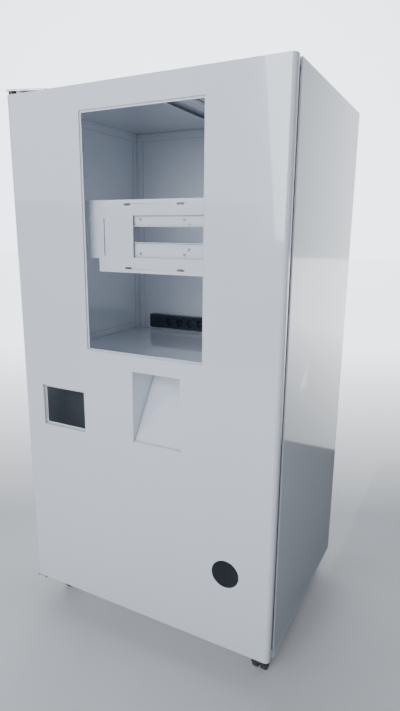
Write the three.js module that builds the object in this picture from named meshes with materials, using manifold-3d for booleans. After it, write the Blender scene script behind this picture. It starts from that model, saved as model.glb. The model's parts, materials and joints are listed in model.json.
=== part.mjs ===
// A free-standing vending machine cabinet in folded sheet steel: a five-sided cabinet on twin-wheel
// casters, and a full-height door hung on pins at its left edge. Millimetres, +Z up, +X to the right
// and +Y to the back. The origin is on the ground at the middle of the machine.

import * as THREE from 'three';
import { mergeVertices } from 'three/addons/utils/BufferGeometryUtils.js';
import Module from 'manifold-3d';

const wasm = await Module();
wasm.setup();

// ---------------------------------------------------------------- driving dimensions

const FIT = 0.3; // gap kept between pieces that touch
const PAST = 1; // how far a cutting shape runs past the face it cuts

const CABINET_WIDTH = 945;
const CABINET_DEPTH = 680;
const CABINET_HEIGHT = 1712;
const CABINET_SHEET = 2;
const BEND_RADIUS = 1.5; // inside a bend
const SIDE_FLANGE = 36; // turned in behind the door seal
const ROOF_FLANGE = 34;
const FLOOR_FLANGE = 46;
const POST_LEG = 31;

const DOOR_LIFT = 12; // the door's lower edge above the cabinet's
const DOOR_DEPTH = 26;
const DOOR_GAP = 17; // between the door's back and the cabinet's front
const DOOR_SHEET = 2;
const DOOR_EDGE_RADIUS = 15;
const DOOR_LIP = 58; // turned in at the back of the door

const WINDOW_WIDTH = 420;
const WINDOW_HEIGHT = 715;
const WINDOW_FROM_MIDDLE = 26.5; // its centre, to the right of the door's
const WINDOW_FROM_TOP = 70.5;
const WINDOW_CORNER = 4;
const WINDOW_LIP = 6;
const WINDOW_STEP = 4; // the lip's depth below the door's face

const FRAME_SHEET = 1.5; // window surround, payment frame and chute
const FRAME_FLANGE = 12; // behind the door's face, round an opening
const FRAME_WALL = 2; // round the opening, from the flange in to the lip

const PAYMENT_WIDTH = 180;
const PAYMENT_HEIGHT = 144;
const PAYMENT_FROM_LEFT = 86;
const PAYMENT_UNDER_WINDOW = 144; // from the window's lower edge to the opening's upper edge
const PAYMENT_RECESS = 9.5;
const PAYMENT_LIP = 8;
const PAYMENT_HOLES = 14;
const PAYMENT_HOLE_PITCH = 8;
const PAYMENT_HOLE_RADIUS = 2;

const CHUTE_WIDTH = 170;
const CHUTE_HEIGHT = 229;
const CHUTE_FROM_WINDOW = 48; // its centre, to the right of the window's
const CHUTE_UNDER_WINDOW = 51;
const CHUTE_SLOPE = 58.6; // degrees from level
const CHUTE_LEDGE = 8;
const CHUTE_RISE = 16; // the slope's top above the opening
const CHUTE_RELIEF_RADIUS = 3;
const CHUTE_HOLE = { fromFace: 61, fromBottom: 121, radius: 2.5 };

const PORT_RADIUS = 45.5; // the round opening
const PORT_FROM_RIGHT = 152.5;
const PORT_FROM_BOTTOM = 263.5;

const BRACKET_SHEET = 2;
const BRACKET_HEIGHT = 217;
const BRACKET_BEHIND_FACE = 50; // from the door's face to the bracket's
const BRACKET_OVERHANG = 39; // past the window on each side
const BRACKET_FOOT = 18;
const EAR_RISE = 41; // the ears' lower edge above the plate's
const EAR_WIDTH = 59;
const HEEL_RISE = 75; // the ears' outer corner is cut back further
const HEEL_WIDTH = 10;
const CUTOUT_WIDTH = 240;
const CUTOUT_HEIGHT = 124;
const CUTOUT_FROM_MIDDLE = 61;
const CUTOUT_RELIEF_RADIUS = 3;
const EAR_SLOT = { width: 4, height: 114, fromMiddle: [-225, -167], drop: 2 };
const PLATE_SLOT = { width: 25, height: 7, fromMiddle: [-79, 106], inset: 14 };
const SLOT_END_FLAT = 0.4; // left straight at a slot's round end

const RAIL_DEPTH = 10;
const RAIL_LENGTH = 320;
const RAIL_FROM_MIDDLE = 61;
const UPPER_RAIL = { height: 41, belowHoles: 20 };
const LOWER_RAIL = { height: 53, belowHoles: 19 };
const SCREEN_MOUNT_PITCH = 100;
const SCREEN_HOLE_RADIUS = 2.6;
const SCREEN_HOLES = [[-38, 0], [114, 0], [129, 15]]; // from the window's middle, and towards it

const STIFFENER_DEPTH = 21;
const STIFFENER_CROWN = 24;
const STIFFENER_FOOT = 10;
const STIFFENER_CLEARANCE = 30; // to the opening below it

const PIVOT_FROM_SIDE = 18;
const PIN_RADIUS = 4;
const PIN_ENGAGEMENT = 22;
const PIN_PROUD = 2; // below the lower hinge's web
const BUSH_WALL = 4;
const BUSH_PAST_PIN = 2;
const BUSH_SHOULDER = 1.2; // past the barrel, inside the door's foot
const BUSH_FLANGE = 3;
const BUSH_TO_LIP = 0.5; // from the lower bush's flange to the lip at the door's back
const TOP_BUSH_SHOULDER = 3.7;
const HINGE_PLATE = 6;
const HINGE_RAISE = 11; // the top plate's underside above the roof
const HINGE_INSET = 2; // from the cabinet's side
const HINGE_NOSE = { width: 28, depth: 11 }; // the plate's cut-back front corner
const HINGE_WIDTH = 127;
const HINGE_LENGTH = 117; // back from the cabinet's front
const HINGE_SPACER_INSET = 9;
const LOWER_HINGE_LEG = 4;
const LOWER_HINGE_WIDTH = 40;
const LOWER_HINGE_SETBACK = 1; // behind the door's face
const LOWER_HINGE_CLEARANCE = 1; // below the door
const LOWER_HINGE_UPSTAND = 10; // behind the door's foot

const SEAL_FROM_EDGE = 19;
const SEAL_FROM_LATCH_EDGE = 4; // at the side away from the hinges
const SEAL_WIDTH = 14;

const CATCH_WIDTH = 14;
const CATCH_HEIGHT = 50;
const CATCH_DEPTH = 18;
const CATCH_FROM_END = 320;
const CATCH_CLEARANCE = 2; // to the side panel's flange
const CATCH_EAR = 3;
const KEEPER_INSET = 4;

const SHELF_UNDER_WINDOW = 58; // its top below the window's lower edge
const SHELF_FLANGE = 26;
const SHELF_SETBACK = 130; // behind the cabinet's front, clear of the chute
const SHELF_NOTCH = 3; // past the post

const BEAM_FROM_LEFT = 410;
const BEAM_WIDTH = 118;
const BEAM_LIP = 31;
const BEAM_DEPTH = 12;
const BEAM_INSET = 60;

const WALL_PLATE = { fromBack: 335, depth: 70, fromTop: 35, height: 173, sheet: 2, corner: 4 };
const WALL_PLATE_HOLES = { radius: 3, fromBack: 10, fromTop: 28, fromBottom: 10 };
const WALL_PLATE_SLOT = { width: 14, height: 30, corner: 6, fromBack: 29, fromTop: 69 };

const STRIP_FROM_LEFT = 92;
const STRIP_FROM_BACK = 52; // its face in front of the cabinet's back
const STRIP_DEPTH = 38;
const STRIP_HEIGHT = 57;
const STRIP_RAISE = 17; // above the shelf
const STRIP_WALL = 2.5;
const STRIP_CORNER = 5;
const STRIP_END = 35; // past the last socket's centre
const STRIP_BASE_INSET = 6;
const SOCKET_COUNT = 6;
const SOCKET_PITCH = 50.9;
const SOCKET_FROM_END = 104;
const SOCKET_RADIUS = 19.5;
const SOCKET_DEPTH = 17.5;
const SOCKET_WALL = 1.7;
const SOCKET_FLOOR = 3;
const SOCKET_PROUD = 0.5;
const CONTACT_RADIUS = 2.5;
const CONTACT_SPACING = 19;
const ROCKER_FROM_END = 42.5;
const ROCKER_SIZE = 21;
const ROCKER_TILT = 6; // degrees either way from level
const ROCKER_PROUD = 1.2;
const ROCKER_BODY = 6;
const ROCKER_PIVOT_DEPTH = 3;
const ROCKER_TAPER = 0.7; // the body's width at its back, as a share of the rocker's
const ROCKER_CLEARANCE = 1;
const GLAND_RADIUS = 8;
const GLAND_LENGTH = 24;
const GLAND_NUT = { overhang: 3, length: 5 };
const LEAD_RADIUS = 3.6;

const WHEEL_RADIUS = 30;
const WHEEL_WIDTH = 18;
const WHEEL_EDGE = 3;
const WHEEL_DISH = 2; // hub face below the tread's edge
const WHEEL_SPACING = 10; // between the two wheels of a caster
const CASTER_TRAIL = 25;
const CASTER_FROM_SIDE = 50;
const CASTER_FROM_END = 62;
const AXLE_RADIUS = 4;
const HOOD_GAP = 2; // wheel tread to hood
const HOOD_WALL = 2.5;
const HOOD_ENDS = [8, 172]; // degrees round the axle, from level
const HOOD_PAST_WHEEL = 1;
const HOOD_BOSS = 6; // round the axle
const HOOD_BOSS_WRAP = 0.3; // radians that the boss runs on under the web
const HOOD_WEB_GAP = 1; // to each wheel
const AXLE_INSET = 1; // inside the wheels' outer faces
const RACE_RADIUS = 18;
const KINGPIN_RADIUS = 5;
const KINGPIN_LENGTH = 8;
const NECK_DEPTH = 18; // of the swivel's neck, down into the hood
const CASTER_NECK = 5.5; // from the hood's top to the swivel face
const RACE_HEIGHT = 4.5;
const MOUNT_PLATE = 3;
const MOUNT_SIZE = 60;
const MOUNT_CORNER = 6;

// ---------------------------------------------------------------- places worked out from them

const DEGREE = Math.PI / 180;
const ROUND = 24; // sides on a round piece
const SMALL_ROUND = 16;
const TINY_ROUND = 8;
const WHEEL_SIDES = 24;
const BEND_STEPS = 3; // flats round a bend or a quarter turn

const hoodRadius = WHEEL_RADIUS + HOOD_GAP + HOOD_WALL;
const swivelZ = WHEEL_RADIUS + hoodRadius + CASTER_NECK;
const bottom = swivelZ + FIT + RACE_HEIGHT + MOUNT_PLATE + FIT; // the cabinet's underside
const top = bottom + CABINET_HEIGHT;
const left = -CABINET_WIDTH / 2;
const right = CABINET_WIDTH / 2;
const face = -(DOOR_DEPTH + DOOR_GAP + CABINET_DEPTH) / 2; // the door's front face
const doorBack = face + DOOR_DEPTH;
const front = doorBack + DOOR_GAP; // the cabinet's front edge
const back = front + CABINET_DEPTH;
const doorBottom = bottom + DOOR_LIFT;
const innerLeft = left + CABINET_SHEET + FIT;
const innerRight = right - CABINET_SHEET - FIT;
const innerBack = back - CABINET_SHEET - FIT;

const behindSkin = face + DOOR_SHEET + FIT;
const windowX = WINDOW_FROM_MIDDLE;
const windowTop = top - WINDOW_FROM_TOP;
const windowBottom = windowTop - WINDOW_HEIGHT;
const windowZ = (windowTop + windowBottom) / 2;
const paymentLeft = left + PAYMENT_FROM_LEFT;
const paymentTop = windowBottom - PAYMENT_UNDER_WINDOW;
const chuteX = windowX + CHUTE_FROM_WINDOW;
const chuteTop = windowBottom - CHUTE_UNDER_WINDOW;
const chuteBottom = chuteTop - CHUTE_HEIGHT;
const portX = right - PORT_FROM_RIGHT;
const portZ = doorBottom + PORT_FROM_BOTTOM;
const bracketHalf = WINDOW_WIDTH / 2 + BRACKET_OVERHANG;
const bracketBottom = windowZ - BRACKET_HEIGHT / 2;
const bracketTop = windowZ + BRACKET_HEIGHT / 2;
const plateBack = face + BRACKET_BEHIND_FACE + BRACKET_SHEET;
const stiffenerBack = behindSkin + STIFFENER_DEPTH;
const pivotX = left + PIVOT_FROM_SIDE;
const lowerBushRadius = PIN_RADIUS + FIT + BUSH_WALL + BUSH_SHOULDER;
const pivotY = doorBack - DOOR_SHEET - BUSH_TO_LIP - lowerBushRadius;
const shelfTop = windowBottom - SHELF_UNDER_WINDOW;
const stripLeft = left + STRIP_FROM_LEFT;
const stripLength = SOCKET_FROM_END + (SOCKET_COUNT - 1) * SOCKET_PITCH + STRIP_END;
const stripFace = back - STRIP_FROM_BACK;
const stripBottom = shelfTop + STRIP_RAISE;
const stripZ = stripBottom + STRIP_HEIGHT / 2;

// ---------------------------------------------------------------- finishes

function finish(color, roughness, metalness = 0) {
  return new THREE.MeshStandardMaterial({ color, roughness, metalness });
}

const whiteCoat = () => finish(0xd9dbe2, 0.35);
const blackPlastic = () => finish(0x1b1d22, 0.45);
const blackRubber = () => finish(0x151618, 0.8);
const greyTread = () => finish(0x4d4945, 0.6);
const zincPlate = () => finish(0xa9abad, 0.4, 0.9);
const brightSteel = () => finish(0xc4c6c8, 0.25, 1);

// ---------------------------------------------------------------- geometry helpers

const group = new THREE.Group();

function addMesh(name, geometry, material, parent = group) {
  const mesh = new THREE.Mesh(geometry, material);
  mesh.name = name;
  parent.add(mesh);
  return mesh;
}

function toSolid(geometry) {
  const bare = geometry.clone();
  bare.deleteAttribute('normal');
  bare.deleteAttribute('uv');
  const merged = mergeVertices(bare, 1e-4);
  return new wasm.Manifold(new wasm.Mesh({
    numProp: 3,
    vertProperties: Float32Array.from(merged.attributes.position.array),
    triVerts: Uint32Array.from(merged.index.array),
  }));
}

function toGeometry(solid) {
  const { vertProperties, triVerts } = solid.getMesh();
  const indexed = new THREE.BufferGeometry();
  indexed.setAttribute('position', new THREE.BufferAttribute(vertProperties, 3));
  indexed.setIndex(new THREE.BufferAttribute(triVerts, 1));
  const flat = indexed.toNonIndexed();
  flat.computeVertexNormals();
  return flat;
}

// One body from pieces that run into each other.
function join(...geometries) {
  return toGeometry(geometries.map(toSolid).reduce((whole, piece) => whole.add(piece)));
}

// A body with the tools' shapes taken out of it.
function cut(geometry, ...tools) {
  return toGeometry(tools.map(toSolid).reduce((rest, tool) => rest.subtract(tool), toSolid(geometry)));
}

function block(x0, x1, y0, y1, z0, z1) {
  const geometry = new THREE.BoxGeometry(x1 - x0, y1 - y0, z1 - z0);
  return geometry.translate((x0 + x1) / 2, (y0 + y1) / 2, (z0 + z1) / 2);
}

function extrude(shape, length, curveSegments = BEND_STEPS) {
  return new THREE.ExtrudeGeometry(shape, { depth: length, bevelEnabled: false, curveSegments });
}

// An outline drawn in Y and Z, carried along X.
function alongX(shape, x0, x1, curveSegments = BEND_STEPS) {
  const turn = new THREE.Matrix4().makeBasis(
    new THREE.Vector3(0, 1, 0), new THREE.Vector3(0, 0, 1), new THREE.Vector3(1, 0, 0));
  return extrude(shape, x1 - x0, curveSegments).applyMatrix4(turn).translate(x0, 0, 0);
}

// An outline drawn in X and Z, carried along Y.
function alongY(shape, y0, y1) {
  return extrude(shape, y1 - y0).rotateX(Math.PI / 2).translate(0, y1, 0);
}

// An outline drawn in X and Y, carried along Z.
function alongZ(shape, z0, z1) {
  return extrude(shape, z1 - z0).translate(0, 0, z0);
}

// Round bars: the middle of the bar in the two directions across it, then its two ends.
function barX(y, z, radius, x0, x1, sides = ROUND) {
  const bar = new THREE.CylinderGeometry(radius, radius, x1 - x0, sides).rotateZ(Math.PI / 2);
  return bar.translate((x0 + x1) / 2, y, z);
}

function barY(x, z, radius, y0, y1, sides = ROUND) {
  const bar = new THREE.CylinderGeometry(radius, radius, y1 - y0, sides);
  return bar.translate(x, (y0 + y1) / 2, z);
}

function barZ(x, y, radius, z0, z1, sides = ROUND) {
  const bar = new THREE.CylinderGeometry(radius, radius, z1 - z0, sides).rotateX(Math.PI / 2);
  return bar.translate(x, y, (z0 + z1) / 2);
}

// A rectangle's outline, with rounded corners where a radius is given.
function rectangle(u0, u1, v0, v1, radius = 0) {
  const shape = new THREE.Shape();
  if (radius === 0) {
    shape.moveTo(u0, v0).lineTo(u1, v0).lineTo(u1, v1).lineTo(u0, v1).closePath();
    return shape;
  }
  shape.moveTo(u0 + radius, v0);
  shape.lineTo(u1 - radius, v0).absarc(u1 - radius, v0 + radius, radius, -Math.PI / 2, 0);
  shape.lineTo(u1, v1 - radius).absarc(u1 - radius, v1 - radius, radius, 0, Math.PI / 2);
  shape.lineTo(u0 + radius, v1).absarc(u0 + radius, v1 - radius, radius, Math.PI / 2, Math.PI);
  shape.lineTo(u0, v0 + radius).absarc(u0 + radius, v0 + radius, radius, Math.PI, 1.5 * Math.PI);
  return shape;
}

function polygon(points) {
  return new THREE.Shape(points.map(([u, v]) => new THREE.Vector2(u, v)));
}

// The end view of a folded strip. The points are the corners of its middle line, and each corner
// is rounded as a bend is.
function foldedStrip(points, sheet, bend = BEND_RADIUS) {
  const corners = points.map(([u, v]) => new THREE.Vector2(u, v));
  const sides = [[], []];
  corners.forEach((corner, i) => {
    const into = i > 0 ? corner.clone().sub(corners[i - 1]).normalize() : null;
    const out = i < corners.length - 1 ? corners[i + 1].clone().sub(corner).normalize() : null;
    if (!into || !out) {
      const along = into ?? out;
      const across = new THREE.Vector2(-along.y, along.x).multiplyScalar(sheet / 2);
      sides[0].push(corner.clone().add(across));
      sides[1].push(corner.clone().sub(across));
      return;
    }
    const turn = Math.atan2(into.cross(out), into.dot(out));
    const middle = bend + sheet / 2;
    const centre = corner.clone().addScaledVector(into, -middle * Math.tan(Math.abs(turn) / 2));
    const inward = new THREE.Vector2(-into.y, into.x).multiplyScalar(Math.sign(turn));
    centre.addScaledVector(inward, middle);
    for (let k = 0; k <= BEND_STEPS; k += 1) {
      const angle = (turn * k) / BEND_STEPS;
      const spoke = inward.clone().negate().rotateAround(new THREE.Vector2(), angle);
      const near = centre.clone().addScaledVector(spoke, bend);
      const far = centre.clone().addScaledVector(spoke, bend + sheet);
      sides[0].push(turn > 0 ? near : far);
      sides[1].push(turn > 0 ? far : near);
    }
  });
  return new THREE.Shape([...sides[1], ...sides[0].reverse()]);
}

// A flat ring between two rectangles about the same middle, carried along Y.
function ringY(x, z, width, height, inset, y0, y1) {
  const outer = rectangle(x - width / 2, x + width / 2, z - height / 2, z + height / 2);
  const hole = rectangle(
    x - width / 2 + inset, x + width / 2 - inset, z - height / 2 + inset, z + height / 2 - inset);
  outer.holes.push(hole);
  return alongY(outer, y0, y1);
}

// A shallow box with one open side, its walls and bottom one sheet thick.
function tray(x0, x1, y0, y1, z0, z1, sheet, openUp) {
  const low = openUp ? z0 + sheet : z0 - PAST;
  const high = openUp ? z1 + PAST : z1 - sheet;
  return cut(
    block(x0, x1, y0, y1, z0, z1),
    block(x0 + sheet, x1 - sheet, y0 + sheet, y1 - sheet, low, high));
}

// ---------------------------------------------------------------- cabinet

function makeSidePanel(name, outer, inward) {
  const web = outer + (inward * CABINET_SHEET) / 2;
  const flange = front + CABINET_SHEET / 2;
  const section = foldedStrip(
    [[outer + inward * SIDE_FLANGE, flange], [web, flange], [web, back]], CABINET_SHEET);
  const clearFrom = outer + inward * (CABINET_SHEET + FIT);
  const clearTo = outer + inward * (SIDE_FLANGE + PAST);
  const trim = (z0, z1) => block(
    Math.min(clearFrom, clearTo), Math.max(clearFrom, clearTo),
    front - PAST, front + CABINET_SHEET + BEND_RADIUS + PAST, z0, z1);
  addMesh(name, cut(
    alongZ(section, bottom, top),
    trim(top - ROOF_FLANGE - FIT, top + PAST),
    trim(bottom - PAST, bottom + FLOOR_FLANGE + FIT)), whiteCoat());
}

function makeCabinetShell() {
  makeSidePanel('left_side_panel', left, 1);
  makeSidePanel('right_side_panel', right, -1);
  addMesh('back_panel',
    block(innerLeft, innerRight, back - CABINET_SHEET, back, bottom, top), whiteCoat());
  addMesh('roof_panel',
    tray(innerLeft, innerRight, front, innerBack, top - ROOF_FLANGE, top, CABINET_SHEET, false),
    whiteCoat());
  addMesh('floor_panel',
    tray(innerLeft, innerRight, front, innerBack, bottom, bottom + FLOOR_FLANGE, CABINET_SHEET, true),
    whiteCoat());
}

function makePost(name, wall, inward) {
  const half = CABINET_SHEET / 2;
  const section = foldedStrip([
    [wall + inward * half, innerBack - POST_LEG],
    [wall + inward * half, innerBack - half],
    [wall + inward * POST_LEG, innerBack - half],
  ], CABINET_SHEET);
  addMesh(name,
    alongZ(section, bottom + FLOOR_FLANGE + FIT, top - ROOF_FLANGE - FIT), whiteCoat());
}

function makeShelf() {
  const x0 = innerLeft + FIT;
  const x1 = innerRight - FIT;
  const y0 = front + SHELF_SETBACK;
  const y1 = innerBack - FIT;
  const under = shelfTop - CABINET_SHEET;
  const rim = shelfTop + SHELF_FLANGE;
  const notch = POST_LEG + SHELF_NOTCH;
  const notchY = innerBack - notch;
  addMesh('middle_shelf', cut(
    join(
      block(x0, x1, y0, y1, under, shelfTop),
      block(x0, x0 + CABINET_SHEET, y0, y1, under, rim),
      block(x1 - CABINET_SHEET, x1, y0, y1, under, rim),
      block(x0, x1, y1 - CABINET_SHEET, y1, under, rim),
      block(x0, x1, y0, y0 + CABINET_SHEET, shelfTop - SHELF_FLANGE, shelfTop)),
    block(x0 - PAST, innerLeft + notch, notchY, y1 + PAST, under - PAST, rim + PAST),
    block(innerRight - notch, x1 + PAST, notchY, y1 + PAST, under - PAST, rim + PAST)), whiteCoat());
}

function makeRoofBeam() {
  const half = CABINET_SHEET / 2;
  const high = top - CABINET_SHEET - FIT - half;
  const low = high - BEAM_DEPTH;
  const x0 = left + BEAM_FROM_LEFT;
  const x1 = x0 + BEAM_WIDTH;
  const section = foldedStrip(
    [[x0 + BEAM_LIP, low], [x0 + half, low], [x0 + half, high],
      [x1 - half, high], [x1 - half, low], [x1 - BEAM_LIP, low]],
    CABINET_SHEET);
  addMesh('roof_beam', alongY(section, front + BEAM_INSET, back - BEAM_INSET), whiteCoat());
}

function makeWallPlate() {
  const y1 = back - WALL_PLATE.fromBack;
  const y0 = y1 - WALL_PLATE.depth;
  const z1 = top - WALL_PLATE.fromTop;
  const z0 = z1 - WALL_PLATE.height;
  const x0 = innerLeft;
  const x1 = innerLeft + WALL_PLATE.sheet;
  const hole = (z) => barX(y1 - WALL_PLATE_HOLES.fromBack, z, WALL_PLATE_HOLES.radius,
    x0 - PAST, x1 + PAST, SMALL_ROUND);
  const { width, height, corner, fromBack, fromTop } = WALL_PLATE_SLOT;
  const slot = rectangle(y1 - fromBack - width / 2, y1 - fromBack + width / 2,
    z1 - fromTop - height / 2, z1 - fromTop + height / 2, corner);
  addMesh('side_mounting_plate', cut(
    alongX(rectangle(y0, y1, z0, z1, WALL_PLATE.corner), x0, x1),
    hole(z1 - WALL_PLATE_HOLES.fromTop),
    hole(z0 + WALL_PLATE_HOLES.fromBottom),
    alongX(slot, x0 - PAST, x1 + PAST)), zincPlate());
}

// ---------------------------------------------------------------- hinges

function makeTopHinge() {
  const under = top + HINGE_RAISE;
  const x0 = left + HINGE_INSET;
  const x1 = left + HINGE_WIDTH;
  const y1 = front + HINGE_LENGTH;
  const outline = polygon([
    [x0, face], [left + HINGE_NOSE.width, face + HINGE_NOSE.depth], [x1, front], [x1, y1], [x0, y1],
  ]);
  addMesh('top_hinge_plate', cut(
    join(
      alongZ(outline, under, under + HINGE_PLATE),
      block(x0 + HINGE_SPACER_INSET, x1 - HINGE_SPACER_INSET,
        front + HINGE_SPACER_INSET, y1 - HINGE_SPACER_INSET, top + FIT, under + PAST)),
    barZ(pivotX, pivotY, PIN_RADIUS + FIT, under - PAST, under + HINGE_PLATE + PAST)), zincPlate());
  addMesh('top_hinge_pin',
    barZ(pivotX, pivotY, PIN_RADIUS, top - PIN_ENGAGEMENT, under + HINGE_PLATE), brightSteel());
}

function makeBottomHinge() {
  const x1 = left + LOWER_HINGE_WIDTH;
  const y0 = face + LOWER_HINGE_SETBACK;
  const y1 = front - FIT;
  const web = doorBottom - LOWER_HINGE_CLEARANCE;
  const under = web - LOWER_HINGE_LEG;
  addMesh('bottom_hinge_bracket', cut(
    join(
      block(left, x1, y0, y1, under, web),
      block(left, left + LOWER_HINGE_LEG, y0, y1, bottom, web),
      block(x1 - LOWER_HINGE_LEG, x1, y0, y1, bottom, web),
      block(left, x1, y1 - LOWER_HINGE_LEG, y1, bottom, doorBottom + LOWER_HINGE_UPSTAND)),
    barZ(pivotX, pivotY, PIN_RADIUS + FIT, bottom - PAST, web + PAST)), zincPlate());
  addMesh('bottom_hinge_pin',
    barZ(pivotX, pivotY, PIN_RADIUS, under - PIN_PROUD, doorBottom + PIN_ENGAGEMENT), brightSteel());
}

function makeBush(name, flangeRadius, flangeLow, flangeHigh, low, high) {
  const bore = PIN_RADIUS + FIT;
  addMesh(name, cut(
    join(
      barZ(pivotX, pivotY, bore + BUSH_WALL, low, high),
      barZ(pivotX, pivotY, flangeRadius, flangeLow, flangeHigh)),
    barZ(pivotX, pivotY, bore, low - PAST, high + PAST)), blackPlastic());
}

function makeBushes() {
  const highest = top + HINGE_RAISE - FIT;
  makeBush('door_bush_top', PIN_RADIUS + FIT + BUSH_WALL + TOP_BUSH_SHOULDER, top + FIT, highest,
    top - PIN_ENGAGEMENT - BUSH_PAST_PIN, highest);
  const seat = doorBottom + DOOR_SHEET + FIT;
  makeBush('door_bush_bottom', lowerBushRadius, seat, seat + BUSH_FLANGE,
    doorBottom, doorBottom + PIN_ENGAGEMENT + BUSH_PAST_PIN);
}

// ---------------------------------------------------------------- door

// The door's plan: a rectangle whose two front corners are bent round.
function doorPlan(inset, y1) {
  const radius = DOOR_EDGE_RADIUS - inset;
  const x0 = left + inset;
  const x1 = right - inset;
  const y0 = face + inset;
  const shape = new THREE.Shape();
  shape.moveTo(x0 + radius, y0);
  shape.lineTo(x1 - radius, y0).absarc(x1 - radius, y0 + radius, radius, -Math.PI / 2, 0);
  shape.lineTo(x1, y1).lineTo(x0, y1);
  shape.lineTo(x0, y0 + radius).absarc(x0 + radius, y0 + radius, radius, Math.PI, 1.5 * Math.PI);
  return shape;
}

function makeDoorSkin() {
  const y0 = face - PAST;
  const y1 = face + DOOR_SHEET + PAST;
  const openings = [
    alongY(rectangle(windowX - WINDOW_WIDTH / 2, windowX + WINDOW_WIDTH / 2,
      windowBottom, windowTop, WINDOW_CORNER), y0, y1),
    block(paymentLeft, paymentLeft + PAYMENT_WIDTH, y0, y1, paymentTop - PAYMENT_HEIGHT, paymentTop),
    block(chuteX - CHUTE_WIDTH / 2, chuteX + CHUTE_WIDTH / 2, y0, y1, chuteBottom, chuteTop),
    barY(portX, portZ, PORT_RADIUS, y0, y1, 2 * ROUND),
  ];
  for (const side of [-1, 1]) {
    openings.push(barY(
      chuteX + (side * CHUTE_WIDTH) / 2, chuteBottom, CHUTE_RELIEF_RADIUS, y0, y1, SMALL_ROUND));
  }
  const bushHole = PIN_RADIUS + BUSH_WALL + 2 * FIT;
  const lip = doorBack - DOOR_SHEET;
  addMesh('door_skin', cut(
    alongZ(doorPlan(0, doorBack), doorBottom, top),
    alongZ(doorPlan(DOOR_SHEET, lip), doorBottom + DOOR_SHEET, top - DOOR_SHEET),
    block(left + DOOR_LIP, right - DOOR_LIP, lip - PAST, doorBack + PAST,
      doorBottom + DOOR_LIP, top - DOOR_LIP),
    barZ(pivotX, pivotY, bushHole, doorBottom - PAST, doorBottom + DOOR_SHEET + PAST),
    barZ(pivotX, pivotY, bushHole, top - DOOR_SHEET - PAST, top + PAST),
    ...openings), whiteCoat());
}

// A surround behind an opening: a flange on the door's back, a wall in to the lip, the lip itself
// and, for the window, a return wall behind the lip.
function surround(x, z, width, height, lipFace, lipWidth) {
  const flangeWidth = width + 2 * FRAME_FLANGE;
  const flangeHeight = height + 2 * FRAME_FLANGE;
  const lipBack = lipFace + FRAME_SHEET;
  return join(
    ringY(x, z, flangeWidth, flangeHeight, FRAME_FLANGE, behindSkin, behindSkin + FRAME_SHEET),
    ringY(x, z, width + 2 * FRAME_WALL, height + 2 * FRAME_WALL, FRAME_WALL, behindSkin, lipBack),
    ringY(x, z, width + 2 * FRAME_WALL, height + 2 * FRAME_WALL, FRAME_WALL + lipWidth,
      lipFace, lipBack));
}

function makeWindowFrame() {
  addMesh('window_frame',
    surround(windowX, windowZ, WINDOW_WIDTH, WINDOW_HEIGHT, face + WINDOW_STEP, WINDOW_LIP),
    whiteCoat());
}

function makePaymentFrame() {
  const x = paymentLeft + PAYMENT_WIDTH / 2;
  const z = paymentTop - PAYMENT_HEIGHT / 2;
  const lipFace = face + PAYMENT_RECESS;
  const holes = [];
  for (let i = 0; i < PAYMENT_HOLES; i += 1) {
    const holeZ = z + (i - (PAYMENT_HOLES - 1) / 2) * PAYMENT_HOLE_PITCH;
    holes.push(barY(paymentLeft + PAYMENT_LIP / 2, holeZ, PAYMENT_HOLE_RADIUS,
      lipFace - PAST, lipFace + FRAME_SHEET + PAST, TINY_ROUND));
  }
  addMesh('payment_frame', cut(
    surround(x, z, PAYMENT_WIDTH, PAYMENT_HEIGHT, lipFace, PAYMENT_LIP),
    ...holes), whiteCoat());
}

function makeChute() {
  const x0 = chuteX - CHUTE_WIDTH / 2;
  const x1 = chuteX + CHUTE_WIDTH / 2;
  const half = FRAME_SHEET / 2;
  const flangeY = behindSkin + half;
  const ledgeZ = chuteBottom + half;
  const ledgeY = face + CHUTE_LEDGE;
  const rise = chuteTop + CHUTE_RISE - ledgeZ;
  const run = rise / Math.tan(CHUTE_SLOPE * DEGREE);
  const floor = foldedStrip([
    [flangeY, chuteBottom - FRAME_FLANGE], [flangeY, ledgeZ],
    [ledgeY, ledgeZ], [ledgeY + run, ledgeZ + rise],
  ], FRAME_SHEET);
  const wall = polygon([
    [behindSkin, chuteBottom], [ledgeY, chuteBottom],
    [ledgeY + run, ledgeZ + rise], [behindSkin, ledgeZ + rise],
  ]);
  const pieces = [alongX(floor, x0 - FRAME_SHEET, x1 + FRAME_SHEET)];
  for (const [inner, outward] of [[x0, -1], [x1, 1]]) {
    const outer = inner + outward * FRAME_SHEET;
    const edge = inner + outward * FRAME_FLANGE;
    pieces.push(alongX(wall, Math.min(inner, outer), Math.max(inner, outer)));
    pieces.push(block(Math.min(inner, edge), Math.max(inner, edge),
      behindSkin, behindSkin + FRAME_SHEET, chuteBottom - FRAME_FLANGE, ledgeZ + rise));
  }
  addMesh('dispensing_chute', cut(
    join(...pieces),
    barX(face + CHUTE_HOLE.fromFace, chuteBottom + CHUTE_HOLE.fromBottom, CHUTE_HOLE.radius,
      x0 - FRAME_SHEET - PAST, x0 + PAST, SMALL_ROUND)), whiteCoat());
}

function makeStiffener(name, x, z0) {
  const half = CABINET_SHEET / 2;
  const near = behindSkin + half;
  const far = stiffenerBack - half;
  const x0 = x - STIFFENER_CROWN / 2;
  const x1 = x + STIFFENER_CROWN / 2;
  const section = foldedStrip(
    [[x0 - STIFFENER_FOOT, near], [x0, near], [x0, far], [x1, far], [x1, near],
      [x1 + STIFFENER_FOOT, near]], CABINET_SHEET);
  addMesh(name, alongZ(section, z0, top - DOOR_SHEET - FIT), whiteCoat());
}

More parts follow.
